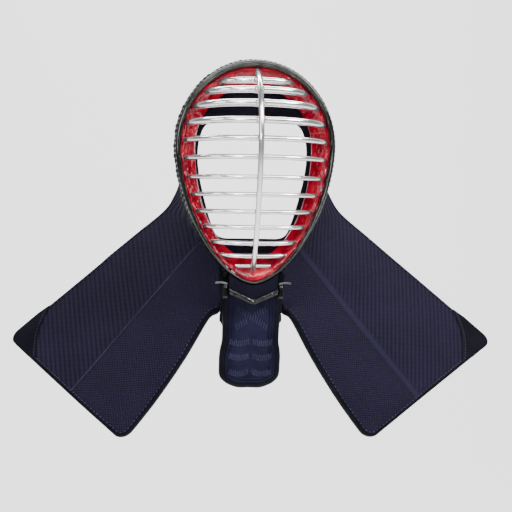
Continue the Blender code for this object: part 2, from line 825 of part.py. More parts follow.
def throat_outline(inset):
    """Right half of the guard's outline from top to foot, drawn in along its normals."""
    points = [Vector((row.out * THROAT_WIDTH / 2, 0.0, throat_top() - row.down * THROAT_LENGTH))
              for row in THROAT_ROWS]
    drawn = []
    for index, point in enumerate(points):
        before = points[max(0, index - 1)]
        after = points[index + 1] if index + 1 < len(points) else mirror(point)
        run = (after - before).normalized()
        drawn.append(point + Vector((run.z, 0.0, -run.x)) * inset)
    drawn[0].z = points[0].z
    return drawn


def throat_back(z):
    """Depth of the guard's back face, which leans back toward the neck as it hangs."""
    return THROAT_THICKNESS + THROAT_LEAN_RATIO * (throat_top() - z)


def throat_face(x, z, relief=0.0):
    """Depth of the guard's front face, which bulges toward the middle."""
    share = min(1.0, abs(x) / (THROAT_WIDTH / 2))
    return throat_back(z) - THROAT_THICKNESS - THROAT_BULGE * (1.0 - share ** 2) - relief


def make_throat_guard(carrier, leather):
    """Centre panel, with its stitched bands standing a little proud."""
    rings = []
    outline = throat_outline(THROAT_BORDER + CLEARANCE)
    for row, edge in zip(THROAT_ROWS, outline):
        relief = row.relief * THROAT_RELIEF
        ring = []
        for span in GUARD_SPANS:
            raised = relief if abs(span) < 1.0 else 0.0
            x = edge.x * span
            ring.append(Vector((x, throat_face(x, edge.z, raised), edge.z)))
        ring.append(Vector((-edge.x, throat_back(edge.z), edge.z)))
        ring.append(Vector((edge.x, throat_back(edge.z), edge.z)))
        rings.append(ring)
    bm = bmesh.new()
    add_loft(bm, rings)
    add_piece("throat_guard", bm, leather, carrier, GUARD_SHARP_ANGLE)


def make_throat_border(carrier, leather):
    """Rolled strip down both sides and round the foot of the centre panel."""
    outer = throat_outline(0.0)
    inner = throat_outline(THROAT_BORDER)
    pairs = list(zip(outer, inner))
    pairs += [(mirror(out), mirror(into)) for out, into in reversed(pairs)]
    rings = []
    for out, into in pairs:
        ring = []
        for across, along in BORDER_SECTION:
            point = lerp(into, out, across)
            point.y = lerp(throat_face(into.x, point.z), throat_back(point.z), along)
            ring.append(point)
        rings.append(ring)
    bm = bmesh.new()
    add_loft(bm, rings)
    add_piece("throat_guard_border", bm, leather, carrier)


def make_inner_flap(carrier, cloth):
    """Plain padded flap behind the throat guard, wide at the top and round at the foot."""
    rings = []
    for down, out in INNER_FLAP_ROWS:
        taper = min(1.0, down * INNER_FLAP_TAPER)
        reach = lerp(INNER_FLAP_WIDTH, INNER_FLAP_FOOT_WIDTH, taper) / 2 * out
        z = throat_top() + INNER_FLAP_LAP - down * INNER_FLAP_LENGTH
        front = max(throat_back(z), RIM_BACK) + CLEARANCE
        rings.append([Vector((reach * across, front + INNER_FLAP_THICKNESS * along, z))
                      for across, along in INNER_FLAP_SECTION])
    bm = bmesh.new()
    add_loft(bm, rings)
    add_piece("inner_throat_flap", bm, cloth, carrier)


def chin_line(x):
    """Height of the V that the chin band follows."""
    share = min(1.0, abs(x) / (CHIN_PANEL_WIDTH / 2))
    return throat_top() - CHIN_BAND_DROP - CHIN_BAND_POINT * (1.0 - share)


def make_chin_panel(carrier, cloth):
    """Panel between the rim's underside and the chin band, in front of the throat guard."""
    back = -THROAT_BULGE - CLEARANCE
    front = back - CHIN_PANEL_THICKNESS
    rings = []
    for step in range(CHIN_PANEL_STEPS + 1):
        x = lerp(-CHIN_PANEL_WIDTH / 2, CHIN_PANEL_WIDTH / 2, step / CHIN_PANEL_STEPS)
        top = rim_underside(x) - 2.0 * CLEARANCE
        low = chin_line(x) - CHIN_BAND_WIDTH * CHIN_PANEL_LAP
        rings.append([Vector((x, back, top)), Vector((x, front, top)),
                      Vector((x, front, low)), Vector((x, back, low))])
    bm = bmesh.new()
    add_loft(bm, rings)
    add_piece("chin_panel", bm, cloth, carrier)


def make_chin_band(carrier, lacquer):
    """Rolled band in a V in front of the chin panel's lower edge."""
    back = -THROAT_BULGE - 2.0 * CLEARANCE - CHIN_PANEL_THICKNESS
    rings = []
    for share in BAND_STATIONS:
        x = CHIN_PANEL_WIDTH / 2 * share
        middle = chin_line(x)
        rings.append([Vector((x, back - CHIN_BAND_THICKNESS * along,
                              middle + CHIN_BAND_WIDTH / 2 * across))
                      for across, along in BAND_SECTION])
    bm = bmesh.new()
    add_loft(bm, rings)
    add_piece("chin_band", bm, lacquer, carrier)


def make_chin_tab(name, side, carrier, lacquer):
    """Glossy tab on the throat guard's border, beside the end of the chin band."""
    inner = CHIN_PANEL_WIDTH / 2 + 4.0 * CLEARANCE
    top = throat_top() - 2.0 * CLEARANCE
    back = -THROAT_BULGE - CLEARANCE
    rings = []
    for down, out in TAB_ROWS:
        z = top - CHIN_TAB_LENGTH * down
        rings.append([Vector((side * (inner + CHIN_TAB_WIDTH * across),
                              back - CHIN_BAND_THICKNESS * along * out, z))
                      for across, along in TAB_SECTION])
    bm = bmesh.new()
    add_loft(bm, rings)
    add_piece(name, bm, lacquer, carrier)


def make_lace_end(name, side, carrier, cord):
    """Short end of lacing that comes out between the rim and the chin tab."""
    radius = LACE_THICKNESS / 2
    start = CHIN_PANEL_WIDTH / 2 + 4.0 * CLEARANCE + radius
    points = []
    for step in range(LACE_STEPS + 1):
        share = step / LACE_STEPS
        x = start + LACE_LENGTH * share
        y = -THROAT_BULGE - CLEARANCE - radius
        rise = LACE_LENGTH * LACE_RISE * share * (LACE_CURL - share)
        points.append(Vector((side * x, y, throat_top() - CLEARANCE + radius + rise)))
    bm = bmesh.new()
    add_tube(bm, points, [radius] * len(points), Vector((0.0, 1.0, 0.0)))
    add_piece(name, bm, cord, carrier)


def main():
    for leftover in list(bpy.data.objects):
        bpy.data.objects.remove(leftover)
    seat = pad_point(CROWN_ROW, 0.5) - pad_normal(CROWN_ROW, 0.5) * PAD_THICKNESS / 2
    carrier = bpy.data.objects.new("head_frame", None)
    carrier.location = (0.0, -seat.y, -seat.z)
    bpy.context.collection.objects.link(carrier)

    steel = material("polished steel", STEEL)
    black = material("black lacquer", BLACK_LACQUER)
    red = material("red lacquer", RED_LACQUER)
    navy = material("navy cotton", NAVY_COTTON)
    dark = material("dark navy cotton", DARK_COTTON)
    leather = material("navy leather", NAVY_LEATHER)
    thong = material("grey thong", GREY_THONG)

    make_grille(carrier, steel)
    bm = bmesh.new()
    add_ring(bm, rim_profile)
    add_piece("rawhide_rim", bm, black, carrier)
    make_collar(carrier, red)
    bm = bmesh.new()
    add_ring(bm, cushion_profile)
    add_piece("face_cushion", bm, dark, carrier)
    make_pad(carrier, navy)
    make_binding(carrier, leather)
    make_throat_guard(carrier, leather)
    make_throat_border(carrier, leather)
    make_inner_flap(carrier, dark)
    make_chin_panel(carrier, navy)
    make_chin_band(carrier, black)
    for label, side in (("left", -1.0), ("right", 1.0)):
        make_patch("corner_patch_" + label, side, carrier, leather)
        make_chin_tab("chin_tab_" + label, side, carrier, black)
        make_lace_end("lace_end_" + label, side, carrier, thong)


main()
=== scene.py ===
# %% [markdown]
# # A kendo head guard
#
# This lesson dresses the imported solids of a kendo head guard. The real thing is a welded steel
# grille set in lacquered rawhide, with a long quilted cotton pad sewn round its back and a
# throat guard under the chin. Each piece below is built in metres, where its solid lies.

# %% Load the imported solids
import math
import random
from collections import namedtuple

import bmesh
import bpy
from mathutils import Matrix, Vector, noise


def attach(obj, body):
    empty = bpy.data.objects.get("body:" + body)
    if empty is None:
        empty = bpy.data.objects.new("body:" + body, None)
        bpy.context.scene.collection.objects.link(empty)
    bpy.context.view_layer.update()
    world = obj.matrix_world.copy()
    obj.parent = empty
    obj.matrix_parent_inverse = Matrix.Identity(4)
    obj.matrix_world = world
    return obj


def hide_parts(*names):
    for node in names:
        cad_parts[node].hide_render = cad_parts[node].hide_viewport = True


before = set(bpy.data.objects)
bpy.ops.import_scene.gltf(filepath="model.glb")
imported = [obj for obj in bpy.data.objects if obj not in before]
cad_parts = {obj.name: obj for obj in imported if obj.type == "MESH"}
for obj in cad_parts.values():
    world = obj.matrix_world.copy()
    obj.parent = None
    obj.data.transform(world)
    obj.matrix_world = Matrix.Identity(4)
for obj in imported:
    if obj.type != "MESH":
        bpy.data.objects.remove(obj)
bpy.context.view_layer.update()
random.seed(11)
print("solids:", len(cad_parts))

# %% [markdown]
# ## Sizes
#
# The guard is easiest to describe from its face: x = 0 is the middle, y = 0 the plane of the
# rim and z = 0 the cheek line. Every shape is worked out there. FACE_ORIGIN then moves it to
# where the solids are, because the model's own origin is under the crown of the pad.

# %% The rim's outline and small helpers
FACE_ORIGIN = Vector((0.0, -0.09447, -0.09526))
HALF_WIDTH = 0.0965
CROWN_RISE = 0.104
CHIN_DROP = 0.165
RIM_FULLNESS = 1.7
OPENING_FULLNESS = 2.0
RIM_BACK = 0.016


def lerp(start, end, share):
    return start + (end - start) * share


def smooth(share):
    """Ease from 0 to 1, held flat outside that range."""
    share = max(0.0, min(1.0, share))
    return share * share * (3.0 - 2.0 * share)


def bump_at(value, centre, width):
    """Rounded hill of height 1 around the centre."""
    return math.exp(-((value - centre) / width) ** 2)


def mirror(point):
    return Vector((-point.x, point.y, point.z))


def outline(angle, insets, depth, fullness=RIM_FULLNESS):
    """Point of the egg-shaped rim, drawn in by its own amount at top, sides and chin."""
    top, side, chin = insets
    across = math.cos(angle)
    up = math.sin(angle)
    if up >= 0.0:
        return Vector(((HALF_WIDTH - side) * across, depth, (CROWN_RISE - top) * up))
    power = 2.0 / fullness
    x = (HALF_WIDTH - side) * math.copysign(abs(across) ** power, across)
    return Vector((x, depth, -(CHIN_DROP - chin) * abs(up) ** power))


def half_width_at(z, insets):
    """Half the width of the drawn-in outline at a height."""
    top, side, chin = insets
    rise, power = (CROWN_RISE - top, 2.0) if z >= 0.0 else (CHIN_DROP - chin, RIM_FULLNESS)
    share = max(0.0, 1.0 - (abs(z) / rise) ** power)
    return (HALF_WIDTH - side) * share ** (1.0 / power)


# %% [markdown]
# ## Sheets, rings and tubes from one grid
#
# Nearly every piece here is a surface that can be unrolled: a pad, a ring, a bar. So they all
# start as Blender's own grid. Each vertex keeps its two grid shares, and a small function says
# where that place lies on the finished piece. The grid's UV map then follows the surface, which
# a weave or a row of stitches needs.

# %% Grids and sweeps


def add_grid(bm, columns, rows, place, size=(1.0, 1.0), uv=None):
    """Grid whose vertices go to place(u, v); its UV map is in metres when size is."""
    before = set(bm.verts)
    bmesh.ops.create_grid(bm, x_segments=columns, y_segments=rows, size=0.5, calc_uvs=False)
    made = [vert for vert in bm.verts if vert not in before]
    span = max(vert.co.x for vert in made)
    layer = bm.loops.layers.uv.verify()
    shares = {vert: (vert.co.x / span / 2 + 0.5, vert.co.y / span / 2 + 0.5) for vert in made}
    for face in {face for vert in made for face in vert.link_faces}:
        for loop in face.loops:
            u, v = shares[loop.vert]
            loop[layer].uv = uv(u, v) if uv else (u * size[0], v * size[1])
    for vert, (u, v) in shares.items():
        vert.co = place(u, v)
    return shares


def add_sweep(bm, steps, section, place, size):
    """Closed section swept along: place(u, corner) for each corner at each step."""
    count = len(section)
    return add_grid(bm, steps, count,
                    lambda u, v: place(u, section[round(v * count) % count]), size)


def station_at(stations, u):
    """The station along a sweep that a grid share stands for."""
    return stations[round(u * (len(stations) - 1))]


def both_sides(half):
    """A line from one side to the middle, carried on to its mirror image."""
    return half + [mirror(point) for point in half[-2::-1]]


# %% Closing and finishing a piece
SEAM_GAP = 0.00002
FINE_SEAM_GAP = 0.000005


def close_seams(bm, distance=SEAM_GAP):
    bmesh.ops.remove_doubles(bm, verts=bm.verts, dist=distance)


def cap_ends(bm):
    """Fill each open loop of a tube."""
    rim = [edge for edge in bm.edges if edge.is_boundary]
    if rim:
        bmesh.ops.holes_fill(bm, edges=rim, sides=0)


def finish_piece(name, bm, finish, replaced=(), sharp=60.0):
    """Make the object, move it from face coordinates to the model's, and let it ride."""
    bmesh.ops.recalc_face_normals(bm, faces=bm.faces)
    bmesh.ops.translate(bm, verts=bm.verts, vec=FACE_ORIGIN)
    mesh = bpy.data.meshes.new(name)
    bm.to_mesh(mesh)
    bm.free()
    mesh.shade_smooth()
    mesh.set_sharp_from_angle(angle=math.radians(sharp))
    mesh.materials.append(finish.material)
    piece = bpy.data.objects.new(name, mesh)
    bpy.context.collection.objects.link(piece)
    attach(piece, "root")
    if replaced:
        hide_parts(*replaced)
    print(name, len(mesh.polygons), "faces")
    return piece


def finish_closed(name, bm, finish, replaced=(), sharp=60.0, gap=FINE_SEAM_GAP):
    """Close a swept piece along its seam and at its ends before it is finished."""
    close_seams(bm, gap)
    cap_ends(bm)
    return finish_piece(name, bm, finish, replaced, sharp)


def finish_sweep(name, steps, section, place, size, finish, replaced=()):
    """One closed section, swept and finished as a piece of its own."""
    bm = bmesh.new()
    add_sweep(bm, steps, section, place, size)
    return finish_closed(name, bm, finish, replaced)


def finish_balls(name, bm, finish, replaced=()):
    """Finish a piece with UV spheres, whose faces Blender makes in any order: sort them first."""
    bm.verts.index_update()
    count = len(bm.verts)

    def order(face):
        first, second, third = sorted(vert.index for vert in face.verts)[:3]
        return (first * count + second) * count + third

    bm.faces.sort(key=order)
    return finish_piece(name, bm, finish, replaced)


# %% Tubes


def add_tube(bm, path, radii, sides, sideways, uv_width=1.0):
    """Round bar along the path, with its own radius at each point."""
    last = len(path) - 1
    frames = []
    for index, point in enumerate(path):
        along = (path[min(index + 1, last)] - path[max(index - 1, 0)]).normalized()
        first = sideways.cross(along).normalized()
        frames.append((point, first, along.cross(first), radii[index]))
    length = sum((b - a).length for a, b in zip(path, path[1:]))

    def place(u, v):
        point, first, second, radius = frames[round(u * last)]
        turn = math.tau * v
        return point + (first * math.cos(turn) + second * math.sin(turn)) * radius

    return add_grid(bm, last, sides, place, (length, uv_width))


def round_tip(path, radii, steps=3):
    """Rounded ends for a tube: extra points that close in like a dome."""
    def dome(end, inside, radius):
        away = (end - inside).normalized()
        rows = []
        for step in range(1, steps + 1):
            turn = math.pi / 2 * step / (steps + 0.35)
            rows.append((end + away * radius * math.sin(turn), radius * math.cos(turn)))
        return rows

    head = dome(path[0], path[1], radii[0])[::-1]
    tail = dome(path[-1], path[-2], radii[-1])
    points = [row[0] for row in head] + list(path) + [row[0] for row in tail]
    widths = [row[1] for row in head] + list(radii) + [row[1] for row in tail]
    return points, widths


# %% [markdown]
# ## Shader groups
#
# Three effects come back in several finishes, so each is a node group with named sockets.
# Weave draws warp and weft from the piece's UV map, which is in metres. Grain gives the
# pebbles and pores of leather or the unevenness of lacquer. Fading mixes a second tone in
# soft patches, because dyed cotton and leather are never one flat colour.

# %% Node group helpers


class NodeSheet:
    """Small helper that places and links nodes in one tree."""

    def __init__(self, tree):
        self.tree = tree
        self.count = 0

    def add(self, kind, inputs=None, **settings):
        node = self.tree.nodes.new(kind)
        node.location = (220 * (self.count % 6), -260 * (self.count // 6))
        self.count += 1
        for key, value in settings.items():
            setattr(node, key, value)
        for key, value in (inputs or {}).items():
            self.feed(value, node.inputs[key])
        return node

    def feed(self, value, socket):
        if isinstance(value, bpy.types.NodeSocket):
            self.tree.links.new(value, socket)
        else:
            socket.default_value = value

    def math(self, operation, first, second=0.0, third=0.0, clamp=False):
        node = self.add("ShaderNodeMath", operation=operation, use_clamp=clamp)
        for socket, value in zip(node.inputs, (first, second, third)):
            self.feed(value, socket)
        return node.outputs[0]

    def mix(self, share, first, second):
        node = self.add("ShaderNodeMix", data_type="RGBA")
        for socket, value in ((node.inputs[0], share), (node.inputs[6], first),
                              (node.inputs[7], second)):
            self.feed(value, socket)
        return node.outputs[2]

    def ramp(self, value, stops):
        """Map a value through grey stops, given as (place, brightness)."""
        node = self.add("ShaderNodeValToRGB", {"Fac": value})
        ramp = node.color_ramp
        while len(ramp.elements) < len(stops):
            ramp.elements.new(0.5)
        for element, (place, bright) in zip(ramp.elements, stops):
            element.position = place
            element.color = (bright, bright, bright, 1.0)
        return node.outputs["Color"]


def new_group(name, inputs, outputs):
    """Node group with float, vector or colour sockets."""
    kinds = {"f": "NodeSocketFloat", "v": "NodeSocketVector", "c": "NodeSocketColor"}
    tree = bpy.data.node_groups.new(name, "ShaderNodeTree")
    for socket, kind, *value in inputs:
        made = tree.interface.new_socket(socket, in_out="INPUT", socket_type=kinds[kind])
        if value:
            made.default_value = value[0]
    for socket, kind in outputs:
        tree.interface.new_socket(socket, in_out="OUTPUT", socket_type=kinds[kind])
    sheet = NodeSheet(tree)
    return tree, sheet, sheet.add("NodeGroupInput").outputs, sheet.add("NodeGroupOutput").inputs


# %% Weave, grain and fading
weave_group, sheet, given, out = new_group(
    "Weave", [("Place", "v"), ("Pitch", "f", 0.0008)], [("Height", "f"), ("Thread", "f")])
scaled = sheet.add("ShaderNodeVectorMath", {0: given["Place"]}, operation="DIVIDE")
pitch = sheet.add("ShaderNodeCombineXYZ", {0: given["Pitch"], 1: given["Pitch"],
                                           2: given["Pitch"]})
sheet.feed(pitch.outputs[0], scaled.inputs[1])
split = sheet.add("ShaderNodeSeparateXYZ", {0: scaled.outputs[0]})
warp = sheet.math("SINE", sheet.math("MULTIPLY", split.outputs[0], math.tau))
weft = sheet.math("SINE", sheet.math("MULTIPLY", split.outputs[1], math.tau))
crossing = sheet.math("MULTIPLY", warp, weft)
lifted = sheet.math("MULTIPLY_ADD", crossing, 0.5, 0.5)
sheet.feed(lifted, out["Height"])
fuzz = sheet.add("ShaderNodeTexNoise", {"Vector": scaled.outputs[0], "Scale": 0.7,
                                        "Detail": 2.0})
sheet.feed(sheet.math("MULTIPLY", lifted, fuzz.outputs["Fac"]), out["Thread"])

grain_group, sheet, given, out = new_group(
    "Grain", [("Place", "v"), ("Scale", "f", 900.0), ("Pores", "f", 0.5)],
    [("Height", "f"), ("Patches", "f")])
pebbles = sheet.add("ShaderNodeTexVoronoi", {"Vector": given["Place"],
                                             "Scale": given["Scale"]})
broad = sheet.add("ShaderNodeTexNoise", {
    "Vector": given["Place"], "Scale": sheet.math("MULTIPLY", given["Scale"], 0.12),
    "Detail": 3.0})
sheet.feed(sheet.math("ADD", sheet.math("MULTIPLY", pebbles.outputs["Distance"],
                                        given["Pores"]), broad.outputs["Fac"]), out["Height"])
sheet.feed(sheet.ramp(broad.outputs["Fac"], ((0.35, 0.0), (0.68, 1.0))), out["Patches"])

fading_group, sheet, given, out = new_group(
    "Fading", [("Place", "v"), ("Scale", "f", 12.0), ("Deep", "c"), ("Faded", "c"),
               ("Amount", "f", 0.5)], [("Color", "c")])
clouds = sheet.add("ShaderNodeTexNoise", {"Vector": given["Place"], "Scale": given["Scale"],
                                          "Detail": 4.0, "Roughness": 0.62})
share = sheet.math("MULTIPLY", sheet.ramp(clouds.outputs["Fac"], ((0.36, 0.0), (0.66, 1.0))),
                   given["Amount"])
sheet.feed(sheet.mix(share, given["Deep"], given["Faded"]), out["Color"])
print("shader groups:", len(bpy.data.node_groups))

# %% [markdown]
# ## Finishes
#
# A finish is a Principled shader with a few patterns in front of it. What is the same all over,
# such as coat and sheen, is set on the shader itself. What changes over the surface, such as
# colour, roughness and small relief, comes from nodes.

# %% Finish helper


class Finish(NodeSheet):
    """A material with its shader, and the places that its patterns read."""

    def __init__(self, name, roughness=0.5, **fixed):
        self.material = bpy.data.materials.new(name)
        self.material.use_nodes = True
        super().__init__(self.material.node_tree)
        self.shader = self.tree.nodes["Principled BSDF"]
        self.shader.inputs["Roughness"].default_value = roughness
        for key, value in fixed.items():
            self.shader.inputs[key.replace("_", " ")].default_value = value
        where = self.add("ShaderNodeTexCoord")
        self.object_place = where.outputs["Object"]
        self.uv_place = where.outputs["UV"]

    def group(self, tree, inputs):
        node = self.add("ShaderNodeGroup", node_tree=tree)
        for key, value in inputs.items():
            self.feed(value, node.inputs[key])
        return node.outputs

    def tone(self, deep, faded, scale, amount=0.8):
        """Colour that fades from one tone to another in soft patches."""
        return self.group(fading_group, {"Place": self.object_place, "Scale": scale,
                                         "Deep": deep, "Faded": faded,
                                         "Amount": amount})["Color"]

    def grain(self, scale, pores):
        return self.group(grain_group, {"Place": self.object_place, "Scale": scale,
                                        "Pores": pores})

    def colour(self, value):
        self.feed(value, self.shader.inputs["Base Color"])

    def rough(self, value):
        self.feed(value, self.shader.inputs["Roughness"])

    def relief(self, *layers):
        """Stack bumps, each given as (height, distance in metres, strength)."""
        under = None
        for height, distance, strength in layers:
            bump = self.add("ShaderNodeBump", {"Height": height, "Distance": distance,
                                               "Strength": strength})
            if under is not None:
                self.feed(under, bump.inputs["Normal"])
            under = bump.outputs[0]
        self.feed(under, self.shader.inputs["Normal"])

    def attribute(self, name):
        return self.add("ShaderNodeAttribute", attribute_name=name).outputs["Fac"]


# %% [markdown]
# **Steel.** The bars are drawn, bent, welded and buffed. Buffing leaves fine lines along each
# bar, so the noise is stretched along the bar's own UV map, and handling leaves duller patches.

# %% Polished steel
STEEL_TONE = (0.84, 0.84, 0.85, 1.0)
STEEL_DULL = (0.48, 0.48, 0.49, 1.0)

steel = Finish("polished steel", 0.2, Metallic=0.94)
lines = steel.add("ShaderNodeMapping", {"Vector": steel.uv_place, "Scale": (40.0, 900.0, 1.0)})
buffing = steel.add("ShaderNodeTexNoise", {"Vector": lines.outputs[0], "Scale": 1.0,
                                           "Detail": 3.0})
steel.colour(steel.tone(STEEL_TONE, STEEL_DULL, 34.0, 0.35))
steel.rough(steel.math("MULTIPLY_ADD", buffing.outputs["Fac"], 0.14, 0.10))
steel.relief((buffing.outputs["Fac"], 0.0002, 0.05))

# %% [markdown]
# **Lacquer.** Rim and collar are hide, stitched wet and coated with many layers of lacquer. The
# lacquer pools and dips over the hide, so it needs broad relief under a smooth, glossy coat.
# The top of the rim is painted a satin grey, a painted reflection of the lamps above it.

# %% Black and red lacquer
BLACK_DEEP = (0.0015, 0.0018, 0.0018, 1.0)
BLACK_WORN = (0.007, 0.008, 0.0075, 1.0)
# Greys for the rim's top: a painted reflection of the lamps above.
RIM_REFLECTION_DEEP = (0.014, 0.017, 0.014, 1.0)
RIM_REFLECTION_BRIGHT = (0.060, 0.068, 0.056, 1.0)
RED_DEEP = (0.17, 0.0015, 0.009, 1.0)
RED_BRIGHT = (0.50, 0.005, 0.026, 1.0)
LACQUER_PATCHES = 60.0
RIM_REFLECTION_SLOPE = 14.0
RIM_REFLECTION_START = 0.9


def lacquer(name, roughness, lumps, scale, gloss=0.3):
    """Glossy coat over lumpy hide; its colour is given afterwards."""
    made = Finish(name, roughness, Specular_IOR_Level=gloss, Coat_Weight=gloss,
                  Coat_Roughness=0.05)
    skin = made.grain(scale, 0.25)
    made.rough(made.math("MULTIPLY_ADD", skin["Patches"], 0.12, roughness))
    made.relief((skin["Height"], 0.0012, lumps))
    return made


black_lacquer = lacquer("black lacquer", 0.08, 0.22, 420.0, 0.2)
black_lacquer.colour(black_lacquer.tone(BLACK_DEEP, BLACK_WORN, LACQUER_PATCHES))
red_lacquer = lacquer("red lacquer", 0.10, 0.4, 330.0)
red_lacquer.colour(red_lacquer.tone(RED_DEEP, RED_BRIGHT, LACQUER_PATCHES))

rim_lacquer = lacquer("rim lacquer", 0.12, 0.22, 420.0)
# Painted reflection: the rim's colour turns from deep black to satin grey toward its top.
at = rim_lacquer.add("ShaderNodeSeparateXYZ", {0: rim_lacquer.object_place})
painted_top_reflection = rim_lacquer.math("MULTIPLY_ADD", at.outputs[2], RIM_REFLECTION_SLOPE, RIM_REFLECTION_START,
                           clamp=True)
rim_lacquer.colour(rim_lacquer.mix(painted_top_reflection,
                                   rim_lacquer.tone(BLACK_DEEP, BLACK_WORN, LACQUER_PATCHES),
                                   rim_lacquer.tone(RIM_REFLECTION_DEEP, RIM_REFLECTION_BRIGHT, LACQUER_PATCHES)))

# %% [markdown]
# **Quilted cotton.** Thick indigo cotton is sewn through in close rows. Each row pulls a groove
# and each stitch a small bead between grooves. The pad's UV map runs across and along its rows
# in metres, so both come straight from it, the same on both flaps.

# %% Tones of cotton, thread and leather
INDIGO_DEEP = (0.0033, 0.0026, 0.0068, 1.0)
INDIGO_FADED = (0.0074, 0.0059, 0.0148, 1.0)
THREAD_TONE = (0.019, 0.016, 0.037, 1.0)
SEWING_TONE = (0.036, 0.035, 0.068, 1.0)
LEATHER_DEEP = (0.0040, 0.0038, 0.0140, 1.0)
LEATHER_WORN = (0.0098, 0.0094, 0.0290, 1.0)
BINDING_DEEP = (0.0012, 0.0012, 0.0036, 1.0)
BINDING_WORN = (0.0032, 0.0034, 0.0080, 1.0)
THONG_DEEP = (0.050, 0.050, 0.050, 1.0)
THONG_WORN = (0.20, 0.20, 0.19, 1.0)
RING_DEEP = (0.0025, 0.0021, 0.0042, 1.0)
RING_FADED = (0.0055, 0.0048, 0.0090, 1.0)
LACE_DEEP = (0.0015, 0.0015, 0.0018, 1.0)
LACE_WORN = (0.006, 0.006, 0.007, 1.0)
MATT = {"Specular_IOR_Level": 0.05, "Sheen_Weight": 0.01, "Sheen_Roughness": 0.5}

# %% Quilted cotton
quilt = Finish("quilted indigo cotton", 0.88, **MATT)
where = quilt.add("ShaderNodeSeparateXYZ", {0: quilt.uv_place})


def round_rows(axis, pitch, power):
    """Rounded rows across (axis 0) or beads along (axis 1), with grooves between."""
    angle = quilt.math("MULTIPLY", where.outputs[axis], math.pi / pitch)
    return quilt.math("POWER", quilt.math("ABSOLUTE", quilt.math("SINE", angle)), power)


deep_rows = round_rows(0, 0.0060, 0.6)
beads = round_rows(1, 0.0056, 0.5)
deep_beads = quilt.math("MULTIPLY", deep_rows, quilt.math("MULTIPLY_ADD", beads, 0.3, 0.7))
fine_beads = quilt.math("MULTIPLY", round_rows(0, 0.0030, 0.5), round_rows(1, 0.0026, 0.5))
fine_share = quilt.attribute("fine")
plain_share = quilt.attribute("plain")
stitched = quilt.math("ADD", quilt.math("MULTIPLY", deep_beads,
                                        quilt.math("SUBTRACT", 1.0, fine_share)),
                      quilt.math("MULTIPLY", fine_beads, fine_share))
stitched = quilt.math("MULTIPLY", stitched, quilt.math("SUBTRACT", 1.0, plain_share))
threads = quilt.group(weave_group, {"Place": quilt.uv_place, "Pitch": 0.0011})
dye = quilt.tone(INDIGO_DEEP, INDIGO_FADED, 16.0, 0.75)
strength = quilt.math("MULTIPLY_ADD", fine_share, 0.2, 0.45)
lit = quilt.math("MULTIPLY_ADD", plain_share, 0.6, quilt.math("MULTIPLY", stitched, strength))
quilt.colour(quilt.mix(lit, dye, THREAD_TONE))
quilt.relief((stitched, 0.0011, 0.8), (threads["Height"], 0.0003, 0.3))

# %% Plain cotton, leather and thread


def cotton(name, deep, faded, pitch):
    """Plain woven cotton; its threads follow the height and a slant through the depth."""
    made = Finish(name, 0.88, **MATT)
    at = made.add("ShaderNodeSeparateXYZ", {0: made.object_place})
    slant = made.math("MULTIPLY", at.outputs[1], 0.6)
    flat = made.add("ShaderNodeCombineXYZ", {
        0: made.math("ADD", at.outputs[0], slant), 1: made.math("ADD", at.outputs[2], slant)})
    cloth = made.group(weave_group, {"Place": flat.outputs[0], "Pitch": pitch})
    made.colour(made.mix(made.math("MULTIPLY", cloth["Thread"], 0.35),
                         made.tone(deep, faded, 24.0), THREAD_TONE))
    made.relief((cloth["Height"], 0.0004, 0.5))
    return made


def hide(name, deep, worn, scale, gloss=0.5):
    """Tanned leather with pebbled grain."""
    made = Finish(name, gloss, Specular_IOR_Level=0.06)
    skin = made.grain(scale, 0.8)
    made.colour(made.tone(deep, worn, 40.0))
    made.rough(made.math("MULTIPLY_ADD", skin["Patches"], 0.14, gloss - 0.06))
    made.relief((skin["Height"], 0.0006, 0.4))
    return made


plain_cotton = cotton("plain indigo cotton", INDIGO_DEEP, INDIGO_FADED, 0.0013)
ring_cotton = cotton("dark indigo cotton", RING_DEEP, RING_FADED, 0.0013)
leather = hide("indigo leather", LEATHER_DEEP, LEATHER_WORN, 700.0)
dark_leather = hide("dark indigo leather", BINDING_DEEP, BINDING_WORN, 700.0)
thread = hide("waxed indigo thread", THREAD_TONE, SEWING_TONE, 1500.0, 0.6)
thong = hide("grey thong", THONG_DEEP, THONG_WORN, 1100.0, 0.6)
lacing = hide("black lacing", LACE_DEEP, LACE_WORN, 900.0)
print("materials:", len(bpy.data.materials))

# %% [markdown]
# ## Steel grille
#
# Thirteen round bars are bent over the face and welded to the back of one upright bar. A bar
# could be a curve with a bevel, but its radius has to fall at the ends and swell at the weld.
# A grid that is rolled into a tube takes its radius from a list, so it does both.

# %% The upright bar's line
BAR_END = (0.0155, 0.0115, 0.007)
BAR_END_DEPTH = 0.0105
BAR_THICKNESS = 0.0088
SPINE_INSET = 0.0125
SPINE_PEAK = 0.005
SPINE_RADIUS = 0.0038
GRILLE_DEPTH = 0.064
SIDEWAYS = Vector((1.0, 0.0, 0.0))
BACKWARD = Vector((0.0, 1.0, 0.0))
UPWARD = Vector((0.0, 0.0, 1.0))


def spine_point(turn):
    """Middle line of the upright bar; turn runs from 90 degrees at the top to -90."""
    share = math.sin(turn)
    if share >= 0.0:
        z = lerp(SPINE_PEAK, CROWN_RISE - SPINE_INSET, share)
        reach = math.cos(turn)
    else:
        z = lerp(SPINE_PEAK, SPINE_INSET - CHIN_DROP, -share)
        reach = max(0.0, 1.0 - abs(share) ** 1.5) ** 0.7
    return Vector((0.0, BAR_END_DEPTH - (BAR_END_DEPTH + GRILLE_DEPTH) * reach, z))


def spine_depth(z):
    end = CROWN_RISE - SPINE_INSET if z >= SPINE_PEAK else SPINE_INSET - CHIN_DROP
    share = (z - SPINE_PEAK) / abs(end - SPINE_PEAK)
    return spine_point(math.asin(max(-1.0, min(1.0, share)))).y


